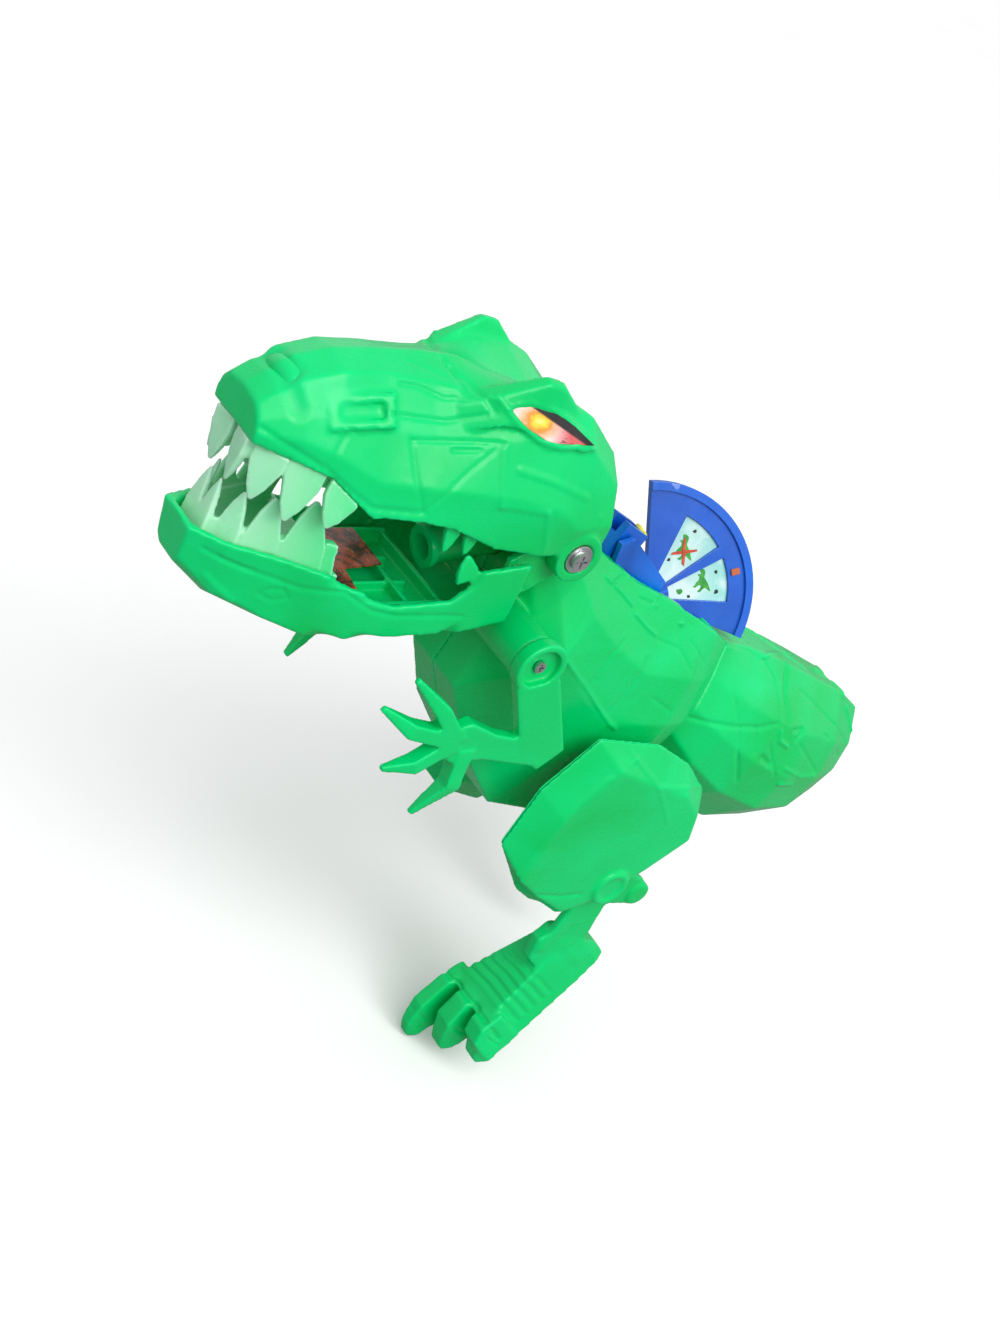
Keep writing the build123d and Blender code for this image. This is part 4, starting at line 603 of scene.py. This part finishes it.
# ------------------------------------------------------------------ pieces
mould("head", ["head_shell"], "head", GREEN, 0.85, 3, HEAD_LINES, both=True)
mould("jaw", ["jaw_shell"], "jaw", GREEN, 0.8, 2, JAW_LINES, both=True)
mould("torso_left", ["torso_left_shell"], "torso", GREEN, 0.85, 3, TORSO_LINES)
mould("torso_right", ["torso_right_shell"], "torso", GREEN, 0.85, 3, TORSO_LINES, place=mirror)
mould("tail_end", ["tail_shell"], "tail", GREEN, 0.9, 3, TAIL_LINES, both=True)
mould("left_thigh_front", ["left_thigh_outer"], "left_thigh", GREEN, 0.8, 6, THIGH_LINES)
mould("left_thigh_back", ["left_thigh_inner"], "left_thigh", GREEN, 0.9, 2)
mould("right_thigh_front", ["right_thigh_outer"], "right_thigh", GREEN, 0.8, 6, THIGH_LINES, place=far_thigh)
mould("right_thigh_back", ["right_thigh_inner"], "right_thigh", GREEN, 0.9, 2)
mould("left_foot", ["left_shin_and_foot"], "left_shin", GREEN, 0.7, 9, FOOT_LINES)
mould("right_foot", ["right_shin_and_foot"], "right_shin", GREEN, 0.7, 9, FOOT_LINES, place=far_shin)
mould("left_arm_piece", ["left_arm"], "left_arm", GREEN, 0.6, 6)
mould("right_arm_piece", ["right_arm"], "right_arm", GREEN, 0.6, 6)
mould("teeth_upper", ["upper_teeth"], "head", TOOTH, 0.5, 7)
mould("teeth_palate", ["palate_plate"], "head", GREEN, 0.6, 4)
mould("teeth_lower", ["lower_teeth"], "jaw", TOOTH, 0.5, 7)
mould("tray", ["drip_tray"], "jaw", GREEN, 0.5, 2)

LOOK = {
    "green_plastic": GREEN, "tooth_plastic": TOOTH, "blue_plastic": BLUE, "yellow_plastic": YELLOW,
    "orange_plastic": ORANGE, "black_plastic": BLACK, "white_plastic": WHITE, "window_film": WINDOW, "eye_print": EYE,
    "card_print": CARD, "steel": STEEL, "motor_can": CAN, "spring_metal": SPRING, "board": BOARD, "cell_wrap": CELL,
    "rubber": RUBBER,
}
slot_of = {s["node"]: s["material_slot"] for s in frame["record"]["subparts"]}
for n, ob in sorted(nodes.items()):
    if ob.hide_render:
        continue
    crisp(n, LOOK.get(slot_of.get(n), GREEN), 0.3)


# ------------------------------------------------------------------ printed signs on the dial windows
DIAL_C = np.array([-6.2, 86.6, -47.6])
DN = np.array([math.cos(math.radians(20)) * math.cos(math.radians(-20)),
               math.cos(math.radians(20)) * math.sin(math.radians(-20)), math.sin(math.radians(20))])
DX = np.array([math.sin(math.radians(20)), math.cos(math.radians(20)), 0.0])
DY = np.cross(DN, DX)
BEAST = [(-1.0, 0.02), (-0.72, 0.16), (-0.35, 0.36), (0.0, 0.46), (0.28, 0.52), (0.40, 0.78), (0.55, 0.98), (0.82, 1.0),
         (1.02, 0.86), (0.98, 0.70), (0.72, 0.66), (0.66, 0.52), (0.88, 0.40), (0.84, 0.32), (0.60, 0.34), (0.48, 0.10),
         (0.52, -0.20), (0.44, -0.48), (0.60, -0.60), (0.30, -0.62), (0.26, -0.30), (0.08, -0.10), (-0.06, -0.22),
         (-0.10, -0.52), (0.02, -0.66), (-0.28, -0.64), (-0.28, -0.26), (-0.36, -0.04), (-0.70, -0.02)]


def rounded(pts, n=3):
    """corner-cut outline"""
    for _ in range(n - 1):
        out = []
        for k in range(len(pts)):
            a, b = np.array(pts[k]), np.array(pts[(k + 1) % len(pts)])
            out += [a * 0.75 + b * 0.25, a * 0.25 + b * 0.75]
        pts = out
    return pts


def sign(name, outlines, material, low=0.42, high=0.54):
    """thin print: closed outlines in dial coordinates (mm), each a small raised plate"""
    bm = bmesh.new()
    for pts in outlines:
        top = [bm.verts.new(R(DIAL_C + DX * p[0] + DY * p[1] + DN * high)) for p in pts]
        bot = [bm.verts.new(R(DIAL_C + DX * p[0] + DY * p[1] + DN * low)) for p in pts]
        bm.faces.new(top)
        bm.faces.new(bot[::-1])
        n = len(pts)
        for k in range(n):
            bm.faces.new((top[k], bot[k], bot[(k + 1) % n], top[(k + 1) % n]))
    bmesh.ops.recalc_face_normals(bm, faces=bm.faces)
    bmesh.ops.triangulate(bm, faces=[f for f in bm.faces if len(f.verts) > 4])
    me = bpy.data.meshes.new(name)
    bm.to_mesh(me)
    bm.free()
    me.materials.append(material)
    ob = link(bpy.data.objects.new(name, me))
    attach(ob, "dial")
    return ob


def at(pts, centre, size, turn, flip=1):
    c, q = math.cos(math.radians(turn)), math.sin(math.radians(turn))
    return [(centre[0] + size * (flip * x * c - y * q), centre[1] + size * (flip * x * q + y * c)) for x, y in pts]


def pol(r, a):
    return (r * math.cos(math.radians(a)), r * math.sin(math.radians(a)))


def bar(centre, length, width, turn):
    h, w = length / 2, width / 2
    return at([(-h, -w * 0.7), (-h * 0.4, -w), (h * 0.6, -w * 0.9), (h, -w * 0.5), (h, w * 0.6), (h * 0.2, w), (-h * 0.8, w * 0.8)],
              centre, 1.0, turn)


def blot(centre, r, turn):
    return at([(1.0, 0.1), (0.5, 0.8), (-0.3, 0.6), (-1.0, 0.5), (-0.6, -0.4), (0.1, -0.9), (0.7, -0.5)], centre, r, turn)


u0, d0 = pol(23.5, 62), pol(25.0, 23)
sign("sign_beasts", [rounded(at(BEAST, u0, 5.4, -34, -1)), rounded(at(BEAST, d0, 5.0, -26, -1)),
                     rounded(blot(pol(15.0, 20), 1.5, 10))], DINO)
sign("sign_cross", [bar(u0, 11.5, 1.3, 18), ], CROSS, 0.56, 0.66)
sign("sign_cross_b", [bar(u0, 11.5, 1.3, 104)], CROSS, 0.68, 0.78)
sign("sign_marks", [rounded(blot(pol(32.4, 66), 0.9, 30)), rounded(blot(pol(31.0, 15), 1.1, 80)), rounded(blot(pol(19.0, 12), 0.8, 0)),
                    rounded(blot(pol(31.6, 30), 0.9, 140)), rounded(blot(pol(17.5, 71), 0.8, 60))], INK)

# ------------------------------------------------------------------ stage
def plane(name, size, z, material):
    me = bpy.data.meshes.new(name)
    s = size / 2
    me.from_pydata([(-s, -s, z), (s, -s, z), (s, s, z), (-s, s, z)], [], [(0, 1, 2, 3)])
    ob = link(bpy.data.objects.new(name, me))
    me.materials.append(material)
    return ob


fm = Nodes("floor_paper")
fn = fm.noise(3.0, 3.0)
fm.link(fm.mix(fm.range(fn, 0.3, 0.7, 0.0, 1.0), (0.95, 0.95, 0.95, 1), (0.92, 0.92, 0.925, 1)), fm.bsdf.inputs["Base Color"])
fm.bsdf.inputs["Roughness"].default_value = 0.9
fm.bsdf.inputs["Specular IOR Level"].default_value = 0.05
# paper that bounces little light back up, so the undersides stay deep
low = fm.new("ShaderNodeBsdfDiffuse")
low.inputs["Color"].default_value = (0.30, 0.30, 0.30, 1)
lp = fm.new("ShaderNodeLightPath")
mx = fm.new("ShaderNodeMixShader")
fm.link(lp.outputs["Is Camera Ray"], mx.inputs[0])
fm.link(low.outputs[0], mx.inputs[1])
fm.link(fm.bsdf.outputs[0], mx.inputs[2])
fm.link(mx.outputs[0], fm.out.inputs[0])
plane("floor", 60.0, -0.0006, fm.mat)

world = bpy.data.worlds.new("studio")
world.use_nodes = True
world.node_tree.nodes["Background"].inputs[0].default_value = (1.0, 1.0, 1.0, 1)
world.node_tree.nodes["Background"].inputs[1].default_value = 0.74
bpy.context.scene.world = world


def sun(name, direction, strength, angle):
    l = bpy.data.lights.new(name, "SUN")
    l.energy = strength
    l.angle = math.radians(angle)
    ob = link(bpy.data.objects.new(name, l))
    ob.location = Vector(direction)
    ob.rotation_euler = (-Vector(direction)).to_track_quat("-Z", "Y").to_euler()
    return ob


def area(name, loc, target, size, power, col=(1, 1, 1)):
    l = bpy.data.lights.new(name, "AREA")
    l.shape = "DISK"
    l.size = size
    l.energy = power
    l.color = col
    ob = link(bpy.data.objects.new(name, l))
    ob.location = loc
    ob.rotation_euler = (Vector(target) - Vector(loc)).to_track_quat("-Z", "Y").to_euler()
    return ob


sun("key", (0.95, -0.30, 1.05), 1.45, 50)
area("softbox", (1.3, 0.25, 1.25), (0, 0.02, 0.16), 0.8, 9)

cam = bpy.data.cameras.new("camera")
cam.sensor_width = 36.0
cam.sensor_fit = "AUTO"
cam.lens = 44.56
cam.clip_start = 0.01
cam.clip_end = 100
cob = link(bpy.data.objects.new("camera", cam))
ca = Vector((0.51187, 0.78368, 0.35189))
cb = Vector((-0.61553, 0.04883, 0.78660))
cc = Vector((0.59926, -0.61924, 0.50738))
mw = Matrix((ca, cb, cc)).transposed().to_4x4()
mw.translation = Vector((0.368752, -0.358758 + OFF[1] / 1000, 0.238954 + OFF[2] / 1000))
cob.matrix_world = mw
bpy.context.scene.camera = cob
bpy.context.scene.view_settings.view_transform = "Standard"
bpy.context.scene.view_settings.look = "None"
